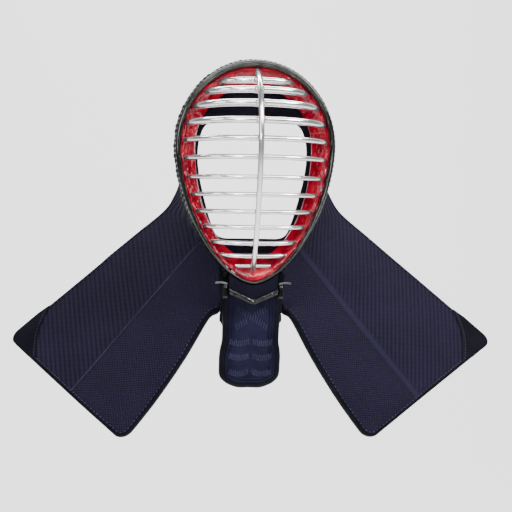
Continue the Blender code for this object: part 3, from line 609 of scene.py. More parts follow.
# %% Cross bars
Bar = namedtuple("Bar", "end middle thick")
BARS = (
    Bar(0.728, 0.755, 0.93), Bar(0.602, 0.638, 0.98), Bar(0.434, 0.481, 1.00),
    Bar(0.249, 0.284, 0.95), Bar(0.053, 0.079, 0.74), Bar(-0.093, -0.081, 0.68),
    Bar(-0.226, -0.222, 0.62), Bar(-0.350, -0.345, 0.62), Bar(-0.465, -0.469, 0.62),
    Bar(-0.574, -0.581, 0.62), Bar(-0.683, -0.698, 0.62), Bar(-0.782, -0.793, 0.62),
    Bar(-0.869, -0.867, 0.60),
)
BAR_STEPS = 52
BAR_SIDES = 16
BAR_GAP = 0.0008
BAR_BEND = 2.2
WELD_WIDTH = 0.0045
WELD_SWELL = 0.14


def height_of(share):
    return share * (CROWN_RISE if share > 0.0 else CHIN_DROP)


def bar_middle(bar):
    """Where a cross bar passes just behind the upright bar."""
    radius = bar.thick * BAR_THICKNESS / 2
    z = height_of(bar.middle)
    slope = (spine_depth(z + 0.001) - spine_depth(z - 0.001)) / 0.002
    behind = (radius + SPINE_RADIUS + BAR_GAP) * math.sqrt(1.0 + slope ** 2)
    return Vector((0.0, spine_depth(z) + behind, z))


def bar_path(bar):
    end = height_of(bar.end)
    middle = bar_middle(bar)
    reach = half_width_at(end, BAR_END)
    path = []
    for step in range(BAR_STEPS + 1):
        across = math.sin(math.pi * (step / BAR_STEPS - 0.5))
        bend = max(0.0, 1.0 - abs(across) ** BAR_BEND) ** (1.0 / BAR_BEND)
        path.append(Vector((reach * across, lerp(BAR_END_DEPTH, middle.y, bend),
                            lerp(end, middle.z, bend))))
    return path


for number, bar in enumerate(BARS, start=1):
    path = bar_path(bar)
    radius = bar.thick * BAR_THICKNESS / 2
    radii = [radius * (1.0 + WELD_SWELL * bump_at(point.x, 0.0, WELD_WIDTH)) for point in path]
    radii[0] = radii[-1] = radius * 0.8
    bm = bmesh.new()
    add_tube(bm, *round_tip(path, radii), BAR_SIDES, UPWARD)
    finish_closed("face_bar_%02d" % number, bm, steel,
                  ["cross_bar_%02d" % number], gap=SEAM_GAP)

# %% [markdown]
# The upright bar is a little thinner toward the chin. Each crossing gets a weld bead: a small
# flattened ball between the two bars, and a round blob of weld closes the foot.

# %% Upright bar and weld beads
SPINE_STEPS = 96
SPINE_TAPER = 0.72
WELD_SIZE = (0.0062, 0.0034, 0.0050)
FOOT_WELD_SIZE = (0.0052, 0.0045, 0.0042)


def add_weld(bm, point, size):
    """A ball of weld, stretched to its size."""
    bmesh.ops.create_uvsphere(bm, u_segments=16, v_segments=10, radius=1.0,
                              matrix=Matrix.LocRotScale(point, None, size))


path = [spine_point(math.pi * (0.5 - step / SPINE_STEPS)) for step in range(SPINE_STEPS + 1)]
radii = [SPINE_RADIUS * lerp(1.0, SPINE_TAPER, step / SPINE_STEPS)
         for step in range(SPINE_STEPS + 1)]
for end in (0, -1):
    radii[end] *= 0.85
bm = bmesh.new()
add_tube(bm, *round_tip(path, radii), BAR_SIDES, SIDEWAYS)
close_seams(bm)
cap_ends(bm)
for bar in BARS:
    middle = bar_middle(bar)
    between = (middle + Vector((0.0, spine_depth(middle.z), middle.z))) / 2
    wide, deep, high = WELD_SIZE
    add_weld(bm, between, (wide * bar.thick, deep, high * bar.thick))
add_weld(bm, spine_point(math.radians(-86)), FOOT_WELD_SIZE)
finish_balls("upright_face_bar", bm, steel, ["upright_bar"])

# %% [markdown]
# ## Rim and stitching
#
# The rim is a lacquered hide tube that follows the egg-shaped outline. It is one section swept
# round the face. The section is given by a few corners, and `soften` cuts those corners until
# they are round, as a file would.

# %% Sweeping a section round the face
RIM_BAND = (0.0085, 0.0068, 0.0045)
RIM_FRONT = 0.008


def soften(corners, rounds=2):
    """Cut the corners of a closed outline until it is round."""
    for _ in range(rounds):
        softer = []
        for here, there in zip(corners, corners[1:] + corners[:1]):
            for share in (0.25, 0.75):
                softer.append(tuple(lerp(a, b, share) for a, b in zip(here, there)))
        corners = softer
    return corners


def new_ring(steps, section, place):
    """Closed ring: place(angle, corner) for every corner of the section."""
    bm = bmesh.new()
    add_sweep(bm, steps, section, lambda u, corner: place(math.tau * u, corner), (0.8, 0.06))
    close_seams(bm)
    return bm


# %% Rim
RIM_SECTION = [(0.0, 0.2), (0.15, 0.06), (0.5, 0.0), (0.85, 0.06), (1.0, 0.2), (1.0, 1.0),
               (0.0, 1.0)]


def rim_place(angle, corner):
    across, along = corner
    insets = [band * across for band in RIM_BAND]
    point = outline(angle, insets, lerp(-RIM_FRONT, RIM_BACK, along))
    lump = noise.noise(Vector((point.x, 0.0, point.z)) * 55.0) * (1.0 - along)
    return point + Vector((0.0, -0.0005 * lump, 0.0))


finish_piece("black_rim", new_ring(260, soften(RIM_SECTION), rim_place),
             rim_lacquer, ["rawhide_rim"])

# %% [markdown]
# Black lacing is wound over the rim's outer wall and holds it to the pad. From the front each
# turn is a bump on the outline, higher on the left, and it is knotted beside the chin. A turn is
# a long ball with few faces, because there are over a hundred of them.

# %% Stitch beads
LACING_LINE = (0.0002, 0.0002, 0.0002)
LACING_DEPTH = 0.0055
LACING_SPACING = 0.0060
LACING_LENGTH = 0.0036
LACING_WIDTH = 0.0112
LACING_RISE = (0.0007, 0.0018)
KNOT_RISE = 0.0036
KNOT_OUT = 0.031


def add_stitch(bm, point, along, outward, length, width, height):
    """One short stitch: a stretched ball that lies along the seam."""
    side = along.cross(outward).normalized()
    turn = Matrix((along, side, side.cross(along))).transposed().to_quaternion()
    bmesh.ops.create_uvsphere(bm, u_segments=8, v_segments=5, radius=1.0,
                              matrix=Matrix.LocRotScale(point, turn, (length, width, height)))


def even_points(points, spacing):
    """Points at equal distances along a polyline, each with its direction."""
    made = []
    waiting = spacing / 2
    for here, there in zip(points, points[1:]):
        run = there - here
        at = waiting
        while at < run.length:
            made.append((here + run.normalized() * at, run.normalized()))
            at += spacing
        waiting = at - run.length
    return made


bm = bmesh.new()
edge = [outline(math.tau * step / 720, LACING_LINE, LACING_DEPTH) for step in range(721)]
for point, along in even_points(edge, LACING_SPACING):
    outward = Vector((point.x, 0.0, point.z)).normalized()
    uneven = random.uniform(0.6, 1.3)
    height = lerp(*LACING_RISE, smooth(0.5 - point.x / 0.08))
    if point.z < 0.0:
        height += KNOT_RISE * bump_at(abs(point.x), KNOT_OUT, 0.007)
    add_stitch(bm, point, along, outward, LACING_LENGTH, LACING_WIDTH, height * uneven)
finish_balls("rim_stitches", bm, lacing)

# %% [markdown]
# ## Red collar
#
# The collar is hide that was pulled wet round the bar ends and then lacquered, so it stands up
# round each bar and wrinkles between them, most of all at the cheeks. It is a ring like the rim,
# with a fine front so that mounds and wrinkles can be pushed into it with noise.

# %% Collar
COLLAR_OUTER = [band + 0.0003 for band in RIM_BAND]
COLLAR_INNER = (0.030, 0.0255, 0.030)
COLLAR_FRONT = 0.002
COLLAR_SLOPE = 0.018
COLLAR_BACK = 0.025
MOUND_RISE = 0.0016
MOUND_WIDTH = 0.0026
MOUND_REACH = 0.016
COLLAR_STEPS = 460
FRONT_STEPS = 34
BAR_ENDS = [(Vector((side * half_width_at(height_of(bar.end), BAR_END), 0.0,
                     height_of(bar.end))), bar.thick * BAR_THICKNESS / 2)
            for bar in BARS for side in (-1, 1)]
BAR_ENDS.append((Vector((0.0, 0.0, CROWN_RISE - SPINE_INSET)), SPINE_RADIUS))
BAR_ENDS.append((Vector((0.0, 0.0, SPINE_INSET - CHIN_DROP)), SPINE_RADIUS))

COLLAR_SECTION = [(step / FRONT_STEPS, None) for step in range(FRONT_STEPS + 1)]
COLLAR_SECTION += [(1.0, COLLAR_BACK), (0.7, 0.0205), (0.4, RIM_BACK), (0.0, RIM_BACK)]


def mounds(point):
    """Height of the hide that stands up round the bar ends."""
    height = 0.0
    for centre, radius in BAR_ENDS:
        away = math.hypot(point.x - centre.x, point.z - centre.z)
        if away < MOUND_REACH:
            height += MOUND_RISE * bump_at(away, radius, MOUND_WIDTH)
    return height


def collar_place(angle, corner):
    across, depth = corner
    insets = [lerp(out, into, across) for out, into in zip(COLLAR_OUTER, COLLAR_INNER)]
    point = outline(angle, insets, 0.0, lerp(RIM_FULLNESS, OPENING_FULLNESS, across))
    if depth is not None:
        point.y = depth
        return point
    cheeks = lerp(0.15, 1.0, abs(math.cos(angle)) ** 1.5)
    held = smooth(across * 6.0) * smooth((1.0 - across) * 8.0)
    folds = 0.0016 * noise.noise(point * 120.0)
    folds += 0.0030 * abs(noise.noise(point * 230.0 + UPWARD * 7.0))
    folds += 0.0014 * noise.noise(point * 460.0)
    point.y = (COLLAR_FRONT + COLLAR_SLOPE * across ** 1.75
               - held * (cheeks * folds + mounds(point)))
    return point


finish_piece("red_collar", new_ring(COLLAR_STEPS, COLLAR_SECTION, collar_place),
             red_lacquer, ["lacquer_collar"])

# %% [markdown]
# ## Cloth
#
# Padding swells until its cover is tight. `swell` lets Blender's cloth solver do that: it gives
# the piece an even skin, draws it in a little, blows it up again with gravity off, holds every
# point within the cap and keeps the shape.

# %% Swelling a padded piece
CLOTH_PRESSURE = 4.0
CLOTH_FRAMES = 20


def swell(piece, voxel, cap, keep):
    """Cloth solver with pressure inside; keep(point) holds a point in the piece's own space."""
    scene = bpy.context.scene
    skin = piece.modifiers.new("even skin", "REMESH")
    skin.mode = "VOXEL"
    skin.voxel_size = voxel
    depsgraph = bpy.context.evaluated_depsgraph_get()
    plain = bpy.data.meshes.new_from_object(piece.evaluated_get(depsgraph))
    piece.modifiers.clear()
    old = piece.data
    piece.data = plain
    bpy.data.meshes.remove(old)
    start = [vert.co - vert.normal * (cap / 3) for vert in plain.vertices]
    for vert, place in zip(plain.vertices, start):
        vert.co = place
    cloth = piece.modifiers.new("swelling", "CLOTH").settings
    cloth.use_pressure = True
    cloth.uniform_pressure_force = CLOTH_PRESSURE
    cloth.effector_weights.gravity = 0.0
    for frame_number in range(1, CLOTH_FRAMES + 1):
        scene.frame_set(frame_number)
    depsgraph = bpy.context.evaluated_depsgraph_get()
    swollen = [vert.co.copy() for vert in piece.evaluated_get(depsgraph).data.vertices]
    piece.modifiers.clear()
    scene.frame_set(1)
    for vert, before, after in zip(plain.vertices, start, swollen):
        move = after - before
        if move.length > cap:
            move *= cap / move.length
        vert.co = keep(before + move)
    bm = bmesh.new()
    bm.from_mesh(plain)
    bmesh.ops.subdivide_edges(bm, edges=bm.edges, cuts=1, use_grid_fill=True, smooth=1.0)
    bm.to_mesh(plain)
    bm.free()
    plain.shade_smooth()
    print(piece.name, "swollen:", len(plain.polygons), "faces")


# %% [markdown]
# ## Padded ring
#
# Behind the collar the face rests on a ring of thick dark cotton. It is the same kind of sweep,
# from the collar's underside in to the face opening. A ray from the middle of the opening finds
# where its inner edge is at each angle.

# %% Face opening
Edge = namedtuple("Edge", "out height")
OPENING_WIDTH = 0.135
OPENING_TOP = 0.029
OPENING_FOOT = 0.109
RING_INSET = (0.012, 0.012, 0.012)
OPENING_EDGE = (
    Edge(0.0, 1.0), Edge(0.76, 1.0), Edge(0.86, 0.90), Edge(0.94, 0.55), Edge(1.0, 0.08),
    Edge(0.985, -0.26), Edge(0.81, -0.70), Edge(0.66, -0.95), Edge(0.60, -1.0),
    Edge(0.0, -1.0),
)


def opening_corners():
    half = [(edge.out * OPENING_WIDTH / 2,
             edge.height * (OPENING_TOP if edge.height > 0.0 else OPENING_FOOT))
            for edge in OPENING_EDGE]
    left = [(-x, z) for x, z in half]
    return soften(left[:-1] + half[:0:-1], 1)


CORNERS = opening_corners()
MIDDLE = (OPENING_TOP - OPENING_FOOT) / 2


def opening_point(angle):
    """Where a ray from the middle of the face opening meets its edge."""
    outer = outline(angle, RING_INSET, 0.0)
    aim = Vector((outer.x, outer.z - MIDDLE)).normalized()
    for (ax, az), (bx, bz) in zip(CORNERS, CORNERS[1:] + CORNERS[:1]):
        run = Vector((bx - ax, bz - az))
        cross = aim.x * run.y - aim.y * run.x
        if abs(cross) < 1e-9:
            continue
        reach = (ax * run.y - (az - MIDDLE) * run.x) / cross
        share = (ax * aim.y - (az - MIDDLE) * aim.x) / cross
        if reach > 0.0 and -1e-6 <= share <= 1.000001:
            return Vector((aim.x * reach, 0.0, MIDDLE + aim.y * reach))
    return outer


# %% Padded ring
RING_DEPTH = 0.018
RING_STEPS = 280
RING_START = COLLAR_BACK + 0.0003
RING_SECTION = soften([(1.0, 0.2), (1.0, 0.8), (0.88, 1.0), (0.5, 1.0), (0.15, 1.0),
                       (0.0, 0.75), (0.0, 0.25), (0.15, 0.0), (0.5, 0.0), (0.88, 0.0)])
OPENING_POINTS = {}


def ring_place(angle, corner):
    across, along = corner
    if angle not in OPENING_POINTS:
        OPENING_POINTS[angle] = opening_point(angle)
    outer = outline(angle, RING_INSET, 0.0)
    point = lerp(OPENING_POINTS[angle], outer, across)
    point.y = RING_START + RING_DEPTH * along
    puff = 0.0012 * noise.noise(point * 42.0) * math.sin(math.pi * across)
    return point + Vector((0.0, puff, 0.0))


bm = new_ring(RING_STEPS, RING_SECTION, ring_place)
bmesh.ops.smooth_vert(bm, verts=bm.verts, factor=0.5, use_axis_x=True, use_axis_z=True)
ring_piece = finish_piece("padded_face_ring", bm, ring_cotton,
                          ["face_cushion"])
RING_FRONT = FACE_ORIGIN.y + RING_START


def behind_collar(point):
    return Vector((point.x, max(RING_FRONT, min(RING_FRONT + RING_DEPTH, point.y)), point.z))


swell(ring_piece, 0.005, 0.003, behind_collar)

# %% [markdown]
# ## The long pad
#
# One quilted pad crosses the crown, follows the rim down both sides and stands out in two
# shoulder flaps. Its shape is given by rows across it: a front point, a rear point and how it
# bows between them. A spline through the rows gives every place on it, so the binding, the
# corner patches and the stitching can ask for the same surface.

# %% Rows of the pad
PAD_DEPTH = 0.156
PAD_THICKNESS = 0.008
PAD_BACK = RIM_BACK + 0.0012
FLAP_FACE = Vector((0.28, -0.85, 0.45))
RIDGE = 0.37

Head = namedtuple("Head", "angle setback rear_out rear_back rear_up bow fold")
HEAD_ROWS = (
    Head(90, 0.00, 0.00, 1.00, 0.73, 0.075, 2.0), Head(70, 0.00, 0.34, 1.00, 0.69, 0.060, 2.0),
    Head(50, 0.00, 0.62, 1.00, 0.53, 0.035, 2.0), Head(30, 0.00, 0.81, 0.99, 0.32, 0.015, 2.0),
    Head(10, 0.00, 0.90, 0.98, 0.05, 0.0, 2.0), Head(-10, 0.00, 0.93, 0.97, -0.17, 0.0, 2.0),
    Head(-30, 0.01, 0.97, 0.97, -0.40, 0.0, 1.9), Head(-45, 0.035, 1.05, 0.98, -0.58, 0.01, 1.8),
    Head(-62, 0.075, 1.21, 0.96, -0.79, 0.03, 1.6),
)
Flap = namedtuple("Flap", "front rear bow fold")
FLAP_ROWS = (
    Flap(0.50, 0.18, 0.5, 1.5), Flap(1.00, 0.36, 0.7, 1.4), Flap(1.03, 0.42, 0.75, 1.4),
    Flap(1.33, 0.57, 0.9, 1.4), Flap(1.67, 0.79, 1.0, 1.4), Flap(2.00, 1.00, 1.0, 1.4),
)
FRONT_BOW = 0.005
FLAP_BOW = 0.012
NOTCH = Vector((0.037, PAD_BACK + 0.0135, -0.1975))
BESIDE_NOTCH = Vector((0.048, PAD_BACK + 0.0078, -0.2035))
FRONT_CORNER = Vector((0.151, PAD_BACK + 0.0078, -0.361))
REAR_CORNER = Vector((0.321, PAD_BACK + 0.145, -0.2515))


def head_row(row):
    angle = math.radians(row.angle)
    front = outline(angle, (0.0045, 0.0045, 0.0045), PAD_BACK + row.setback * PAD_DEPTH)
    rear = Vector((row.rear_out * HALF_WIDTH, PAD_BACK + row.rear_back * PAD_DEPTH,
                   row.rear_up * CROWN_RISE))
    away = Vector((front.x, 0.0, front.z)).normalized() if row.angle > 0 else FLAP_FACE
    return front, rear, away * row.bow * PAD_DEPTH, row.fold


def flap_row(row, start):
    """Row below the rim; its front end runs to the notch, steps aside and goes on outward."""
    if row.front <= 1.0:
        front = lerp(start[0], NOTCH, row.front)
    else:
        share = row.front - 1.0
        run = (FRONT_CORNER - BESIDE_NOTCH).normalized()
        front = lerp(BESIDE_NOTCH, FRONT_CORNER, share)
        front += Vector((run.z, 0.0, -run.x)) * FRONT_BOW * 4.0 * share * (1.0 - share)
    rear = lerp(start[1], REAR_CORNER, row.rear)
    return front, rear, FLAP_FACE * FLAP_BOW * row.bow, row.fold


# Each row also keeps an eased front end, so that the step at the notch stays in the edge.
RIGHT_ROWS = [head_row(row) for row in HEAD_ROWS]
RIGHT_ROWS += [flap_row(row, RIGHT_ROWS[-1]) for row in FLAP_ROWS]
eased = [row[0] for row in RIGHT_ROWS]
for _ in range(4):
    for row in range(len(HEAD_ROWS), len(RIGHT_ROWS) - 1):
        eased[row] = (eased[row - 1] + 2.0 * eased[row] + eased[row + 1]) / 4.0
RIGHT_ROWS = [row + (front,) for row, front in zip(RIGHT_ROWS, eased)]
LEFT_ROWS = [(mirror(front), mirror(rear), mirror(bow), fold, mirror(front_eased))
             for front, rear, bow, fold, front_eased in RIGHT_ROWS[:0:-1]]
PAD_ROWS = LEFT_ROWS + RIGHT_ROWS
CROWN_ROW = len(LEFT_ROWS)
END_ROW = len(PAD_ROWS) - 1
NOTCH_ROW = CROWN_ROW + len(HEAD_ROWS)
print("rows across the pad:", len(PAD_ROWS))

# %% The pad's surface
PAD_LINES = {}
EASED_SHARE = 0.3
SWING = (0.10, 0.17)
SWING_DEPTH = (RIM_BACK, 0.034)


def spline(values, place):
    """Smooth curve through the values; place counts them from 0."""
    last = len(values) - 1
    index = max(0, min(last - 1, int(math.floor(place))))
    t = place - index
    b, c = values[index], values[index + 1]
    a = values[index - 1] if index > 0 else 2.0 * b - c
    d = values[index + 2] if index + 2 <= last else 2.0 * c - b
    return 0.5 * (2.0 * b + (c - a) * t + (2.0 * a - 5.0 * b + 4.0 * c - d) * t ** 2
                  + (3.0 * b - a - 3.0 * c + d) * t ** 3)


def pad_line(place):
    if place not in PAD_LINES:
        PAD_LINES[place] = [spline([row[item] for row in PAD_ROWS], place)
                            for item in range(5)]
    return PAD_LINES[place]


def pad_point(place, across):
    """Middle surface of the pad; across runs from its front edge to its rear edge."""
    front, rear, bow, fold, eased = pad_line(place)
    front = lerp(front, eased, smooth(across / EASED_SHARE))
    if across < RIDGE:
        from_ridge = 1.0 - across / RIDGE
    else:
        from_ridge = (across - RIDGE) / (1.0 - RIDGE)
    point = lerp(front, rear, across) + bow * (1.0 - abs(from_ridge) ** fold)
    toward_end = abs(place - CROWN_ROW) / (END_ROW - CROWN_ROW)
    swing, pivot = (lerp(*pair, toward_end ** 3) for pair in (SWING, SWING_DEPTH))
    point.x += swing * (point.y - pivot)
    return point


def pad_normal(place, across):
    """Direction out of the pad's outer face."""
    along = pad_point(place + 0.02, across) - pad_point(place - 0.02, across)
    over = pad_point(place, across + 0.02) - pad_point(place, across - 0.02)
    return along.cross(over).normalized()


def over_pad(spot, lift):
    """Point over a (place, across) spot of the pad's middle surface."""
    return pad_point(*spot) + pad_normal(*spot) * lift


def pad_width(place):
    return (pad_point(place, 1.0) - pad_point(place, 0.0)).length


ROW_LENGTH = (pad_point(END_ROW, 0.5) - pad_point(END_ROW - 1, 0.5)).length

# %% [markdown]
# The pad's free edge is bound. `edge_shares` draws the pad in by the binding's width: not along
# the rim, where the edge is sewn down, but below it, and round the flap's two corners.

# %% Drawing in the pad's edge
CORNER_RADIUS = 0.016
BINDING_WIDTH = 0.0065


def edge_shares(place, inset):
    """Front and rear share of the drawn-in outline on the right half."""
    radius = CORNER_RADIUS - inset
    width = pad_width(place)
    front = inset * max(0.0, min(1.0, (place - NOTCH_ROW - 0.6) / 0.4))
    left = (END_ROW - place) * ROW_LENGTH - inset
    if left < radius:
        corner = radius - math.sqrt(max(0.0, radius ** 2 - (radius - left) ** 2))
        return (inset + corner) / width, 1.0 - (inset + corner) / width
    return front / width, 1.0 - inset / width


def right_half(place):
    """The same place on the right half."""
    return CROWN_ROW + abs(place - CROWN_ROW)


LENGTHS = [(0.0, float(CROWN_ROW))]
for step in range(1, 20 * (END_ROW - CROWN_ROW) + 1):
    here = CROWN_ROW + step / 20
    walked = (pad_point(here, 0.5) - pad_point(here - 0.05, 0.5)).length
    LENGTHS.append((LENGTHS[-1][0] + walked, here))
HALF_LENGTH = LENGTHS[-1][0]


def place_at(length):
    """Row place at a signed distance from the crown, along the pad's middle."""
    for (near, here), (far, there) in zip(LENGTHS, LENGTHS[1:]):
        if abs(length) <= far:
            share = (abs(length) - near) / (far - near)
            return CROWN_ROW + math.copysign(lerp(here, there, share) - CROWN_ROW, length)
    return float(END_ROW) if length > 0.0 else 0.0


print("half the pad's length: %.3f m" % HALF_LENGTH)

# %% [markdown]
# The quilting is in rows, mirrored at the crown. Over the head they cross the pad at a slant; on
# the flaps they hang almost upright. Behind the crease the rows are deep and beaded; in front of
# it the stitches are small. The right crease is a plain raised band, the left one a cord. The
# rows move real vertices, because they show at the pad's silhouette. The beads are too small for
# that and are left to the shader, which reads the same rows from the UV map.

# %% Quilted surface
ROW_PITCH = 0.0060
HEAD_SLANT = math.radians(42.5)
HANG_SLANT = math.radians(7.0)
HANG_TOP = -0.02
HANG_FADE = 0.07
JOIN_PLACE = CROWN_ROW + 5.6
JOIN_SHARE = 0.7
DEEP_GROOVE = 0.0010
FINE_GROOVE = 0.00035
CREASE_RISE = 0.0007
CREASE_HALF = 0.0026
PAD_STEPS = 640
OUTER_COLUMNS = 118
INNER_COLUMNS = 12


def head_rows(length, over):
    """Distances across and along the slanting rows of the head, in metres."""
    first, second = math.cos(HEAD_SLANT), math.sin(HEAD_SLANT)
    return Vector((second * abs(length) + first * over, second * over - first * abs(length)))


def hanging_rows(point):
    """The same for the rows that hang down the flaps."""
    first, second = math.cos(HANG_SLANT), math.sin(HANG_SLANT)
    return Vector((first * abs(point.x) - second * point.z,
                   first * point.z + second * abs(point.x)))


def sewn(length, over, point):
    """Distances across and along the rows; those of the head fade into the hanging ones."""
    return lerp(head_rows(length, over), hanging_rows(point) + SEWN_SHIFT,
                smooth((HANG_TOP - point.z) / HANG_FADE))


def crease_distance(point):
    """How far behind the crease a point lies; the crease is straight down each flap."""
    away = point - CREASE_START
    away.x = abs(point.x) - CREASE_START.x
    return away.z * CREASE_RUN.x - away.x * CREASE_RUN.z


def crease_half(length):
    """Half the width of the plain band along the crease; the left crease has none."""
    return 0.0 if length < 0.0 else CREASE_HALF


def quilting(across_rows, from_crease, half):
    """Height of the outer face over the plain pad."""
    row = abs(math.sin(math.pi * across_rows / ROW_PITCH)) ** 0.8 - 0.6
    away = smooth((abs(from_crease) - half) / 0.003)
    depth = DEEP_GROOVE if from_crease > 0.0 else FINE_GROOVE
    return away * depth * row + CREASE_RISE * (1.0 - away)


CREASE_START = pad_point(END_ROW - 1.6, RIDGE)
CREASE_RUN = pad_point(END_ROW, RIDGE) - CREASE_START
CREASE_RUN = Vector((CREASE_RUN.x, 0.0, CREASE_RUN.z)).normalized()
JOIN_LENGTH = next(near for near, here in LENGTHS if here >= JOIN_PLACE)
SEWN_SHIFT = (head_rows(JOIN_LENGTH, JOIN_SHARE * pad_width(JOIN_PLACE))
              - hanging_rows(pad_point(JOIN_PLACE, JOIN_SHARE)))


def pad_section():
    """Corners round the pad: share across, and which face it belongs to."""
    outer = [(step / OUTER_COLUMNS, 1.0) for step in range(OUTER_COLUMNS + 1)]
    inner = [(1.0 - step / INNER_COLUMNS, -1.0) for step in range(INNER_COLUMNS + 1)]
    return outer + [(1.0, 0.0)] + inner + [(0.0, 0.0)]


PAD_SECTION = pad_section()
END_INSET = BINDING_WIDTH - 0.0008
USED_LENGTH = HALF_LENGTH - END_INSET
STATIONS = []
for step in range(PAD_STEPS + 1):
    length = lerp(-USED_LENGTH, USED_LENGTH, step / PAD_STEPS)
    place = place_at(length)
    shares = edge_shares(right_half(place), END_INSET)
    STATIONS.append((length, place, shares, pad_width(place)))


def pad_corner(u, v):
    length, place, (front, rear), width = station_at(STATIONS, u)
    share, face = PAD_SECTION[round(v * len(PAD_SECTION)) % len(PAD_SECTION)]
    return length, place, lerp(front, rear, share), face, width


def pad_place(u, v):
    length, place, across, face, width = pad_corner(u, v)
    normal = pad_normal(place, across)
    point = pad_point(place, across)
    lift = face * PAD_THICKNESS / 2
    if face > 0.0:
        lift += quilting(sewn(length, across * width, point)[0], crease_distance(point),
                         crease_half(length))
    return point + normal * lift


def pad_uv(u, v):
    length, place, across, face, width = pad_corner(u, v)
    return sewn(length, across * width, pad_point(place, across))


# %% Quilted pad
bm = bmesh.new()
fine = bm.verts.layers.float.new("fine")
plain = bm.verts.layers.float.new("plain")
shares = add_grid(bm, PAD_STEPS, len(PAD_SECTION), pad_place, uv=pad_uv)
for vert, (u, v) in shares.items():
    length, place, across, face, width = pad_corner(u, v)
    from_crease = crease_distance(pad_point(place, across))
    vert[fine] = smooth(0.5 - from_crease / 0.002)
    vert[plain] = 1.0 - smooth((abs(from_crease) - crease_half(length)) / 0.001)
pad_piece = finish_closed("quilted_long_pad", bm, quilt,
                          ["quilted_pad"], 80.0)

# %% Cord along the left crease
CORD_RADIUS = 0.0007
CORD_STEPS = 90


def crease_share(place):
    """Share across the pad at which the crease crosses one of its rows."""
    low, high = 0.0, 1.0
    for _ in range(24):
        middle = (low + high) / 2
        if crease_distance(pad_point(place, middle)) < 0.0:
            low = middle
        else:
            high = middle
    return low


line = []
for step in range(CORD_STEPS + 1):
    place = lerp(END_INSET / ROW_LENGTH, END_ROW - NOTCH_ROW + 1.2, step / CORD_STEPS)
    line.append(over_pad((place, crease_share(place)), PAD_THICKNESS / 2 + 0.0006))
bm = bmesh.new()
add_tube(bm, line, [CORD_RADIUS] * len(line), 6, SIDEWAYS)
finish_closed("left_crease_cord", bm, thread)

# %% [markdown]
# ## Binding and corner patches
#
# A folded strip covers the raw edge of the pad. It is one more swept section, this time along
# the pad's outline: down the rear edge, round the corner, across the flap's end and back up the
# front edge to the notch. Its seam shows as a row of stitches on the outer face.

# %% Binding's path


def edge_path(steps_per_row=12, turn_steps=10):
    """Pairs of places, on the edge and on the seam, round the free edge of the right half."""
    corner_start = END_ROW - CORNER_RADIUS / ROW_LENGTH
    straight = [CROWN_ROW + step / steps_per_row
                for step in range(int((corner_start - CROWN_ROW) * steps_per_row) + 1)]

    def pair(place, side):
        outer, inner = edge_shares(place, 0.0), edge_shares(place, BINDING_WIDTH)
        return (place, outer[side]), (place, inner[side])

    def on_corner(turn, inset, side):
        radius = CORNER_RADIUS - inset
        place = END_ROW - (inset + radius * (1.0 - math.cos(turn))) / ROW_LENGTH
        share = (inset + radius * (1.0 - math.sin(turn))) / pad_width(place)
        return place, share if side == 0 else 1.0 - share

    turns = [math.pi / 2 * (1.0 - step / turn_steps) for step in range(turn_steps + 1)]
    rear = [pair(place, 1) for place in straight]
    rear += [(on_corner(turn, 0.0, 1), on_corner(turn, BINDING_WIDTH, 1)) for turn in turns]
    front = [(on_corner(turn, 0.0, 0), on_corner(turn, BINDING_WIDTH, 0))
             for turn in reversed(turns)]
    start, end = rear[-1], front[0]
    across = [tuple((a[0], lerp(a[1], b[1], step / 24)) for a, b in zip(start, end))
              for step in range(1, 24)]
    front += [pair(place, 0) for place in reversed(straight) if place > NOTCH_ROW + 0.8]
    return rear + across + front


HALF_EDGE = edge_path()
WHOLE_EDGE = [tuple((END_ROW - place, share) for place, share in pair)
              for pair in HALF_EDGE[:0:-1]] + HALF_EDGE
print("stations along the binding:", len(WHOLE_EDGE))

# %% Edge binding
BINDING_THICKNESS = 0.0095
BINDING_SECTION = soften([(0.0, 1.0), (0.7, 1.0), (1.0, 0.45), (1.0, -0.45), (0.7, -1.0),
                          (0.0, -1.0)])
SEAM_LINES = [(pad_point(*inner), pad_point(*outer), pad_normal(*inner))
              for outer, inner in WHOLE_EDGE]


def binding_place(u, corner):
    seam, edge, normal = station_at(SEAM_LINES, u)
    across, up = corner
    return lerp(seam, edge, across) + normal * (BINDING_THICKNESS / 2 * up)


finish_sweep("pad_binding", len(SEAM_LINES) - 1, BINDING_SECTION, binding_place, (2.4, 0.03),
             dark_leather, ["edge_binding"])

# %% Binding stitches
BINDING_SPACING = 0.0056
BINDING_STITCH = (0.0018, 0.0008, 0.0007)

bm = bmesh.new()
lift = BINDING_THICKNESS / 2 - 0.0001
line = [lerp(seam, edge, 0.16) + normal * lift for seam, edge, normal in SEAM_LINES]
for point, along in even_points(line, BINDING_SPACING):
    nearest = min(SEAM_LINES, key=lambda item: (item[0] - point).length_squared)
    add_stitch(bm, point, along, nearest[2], *BINDING_STITCH)
finish_balls("binding_stitches", bm, thread)

# %% [markdown]
# Soft leather wraps each rear corner of the flaps, where it rubs on the shoulders. Its hem is
# hollow, so the patch is worked out between the pad's edge and a curved hem.

# %% Corner patches
PATCH_REACH = 0.072
PATCH_THICKNESS = 0.0014
PATCH_SECTION = soften([(0.0, 0.0), (0.0, 1.0), (0.33, 1.0), (0.66, 1.0), (1.0, 1.0),
                        (1.0, 0.0), (0.66, 0.0), (0.33, 0.0)])
PATCH_STEPS = 44
PATCH_INSET = 0.0004
HEM_BEND = 0.12
HEM_SPACING = 0.0042
HEM_STITCH = (0.0014, 0.0006, 0.0005)


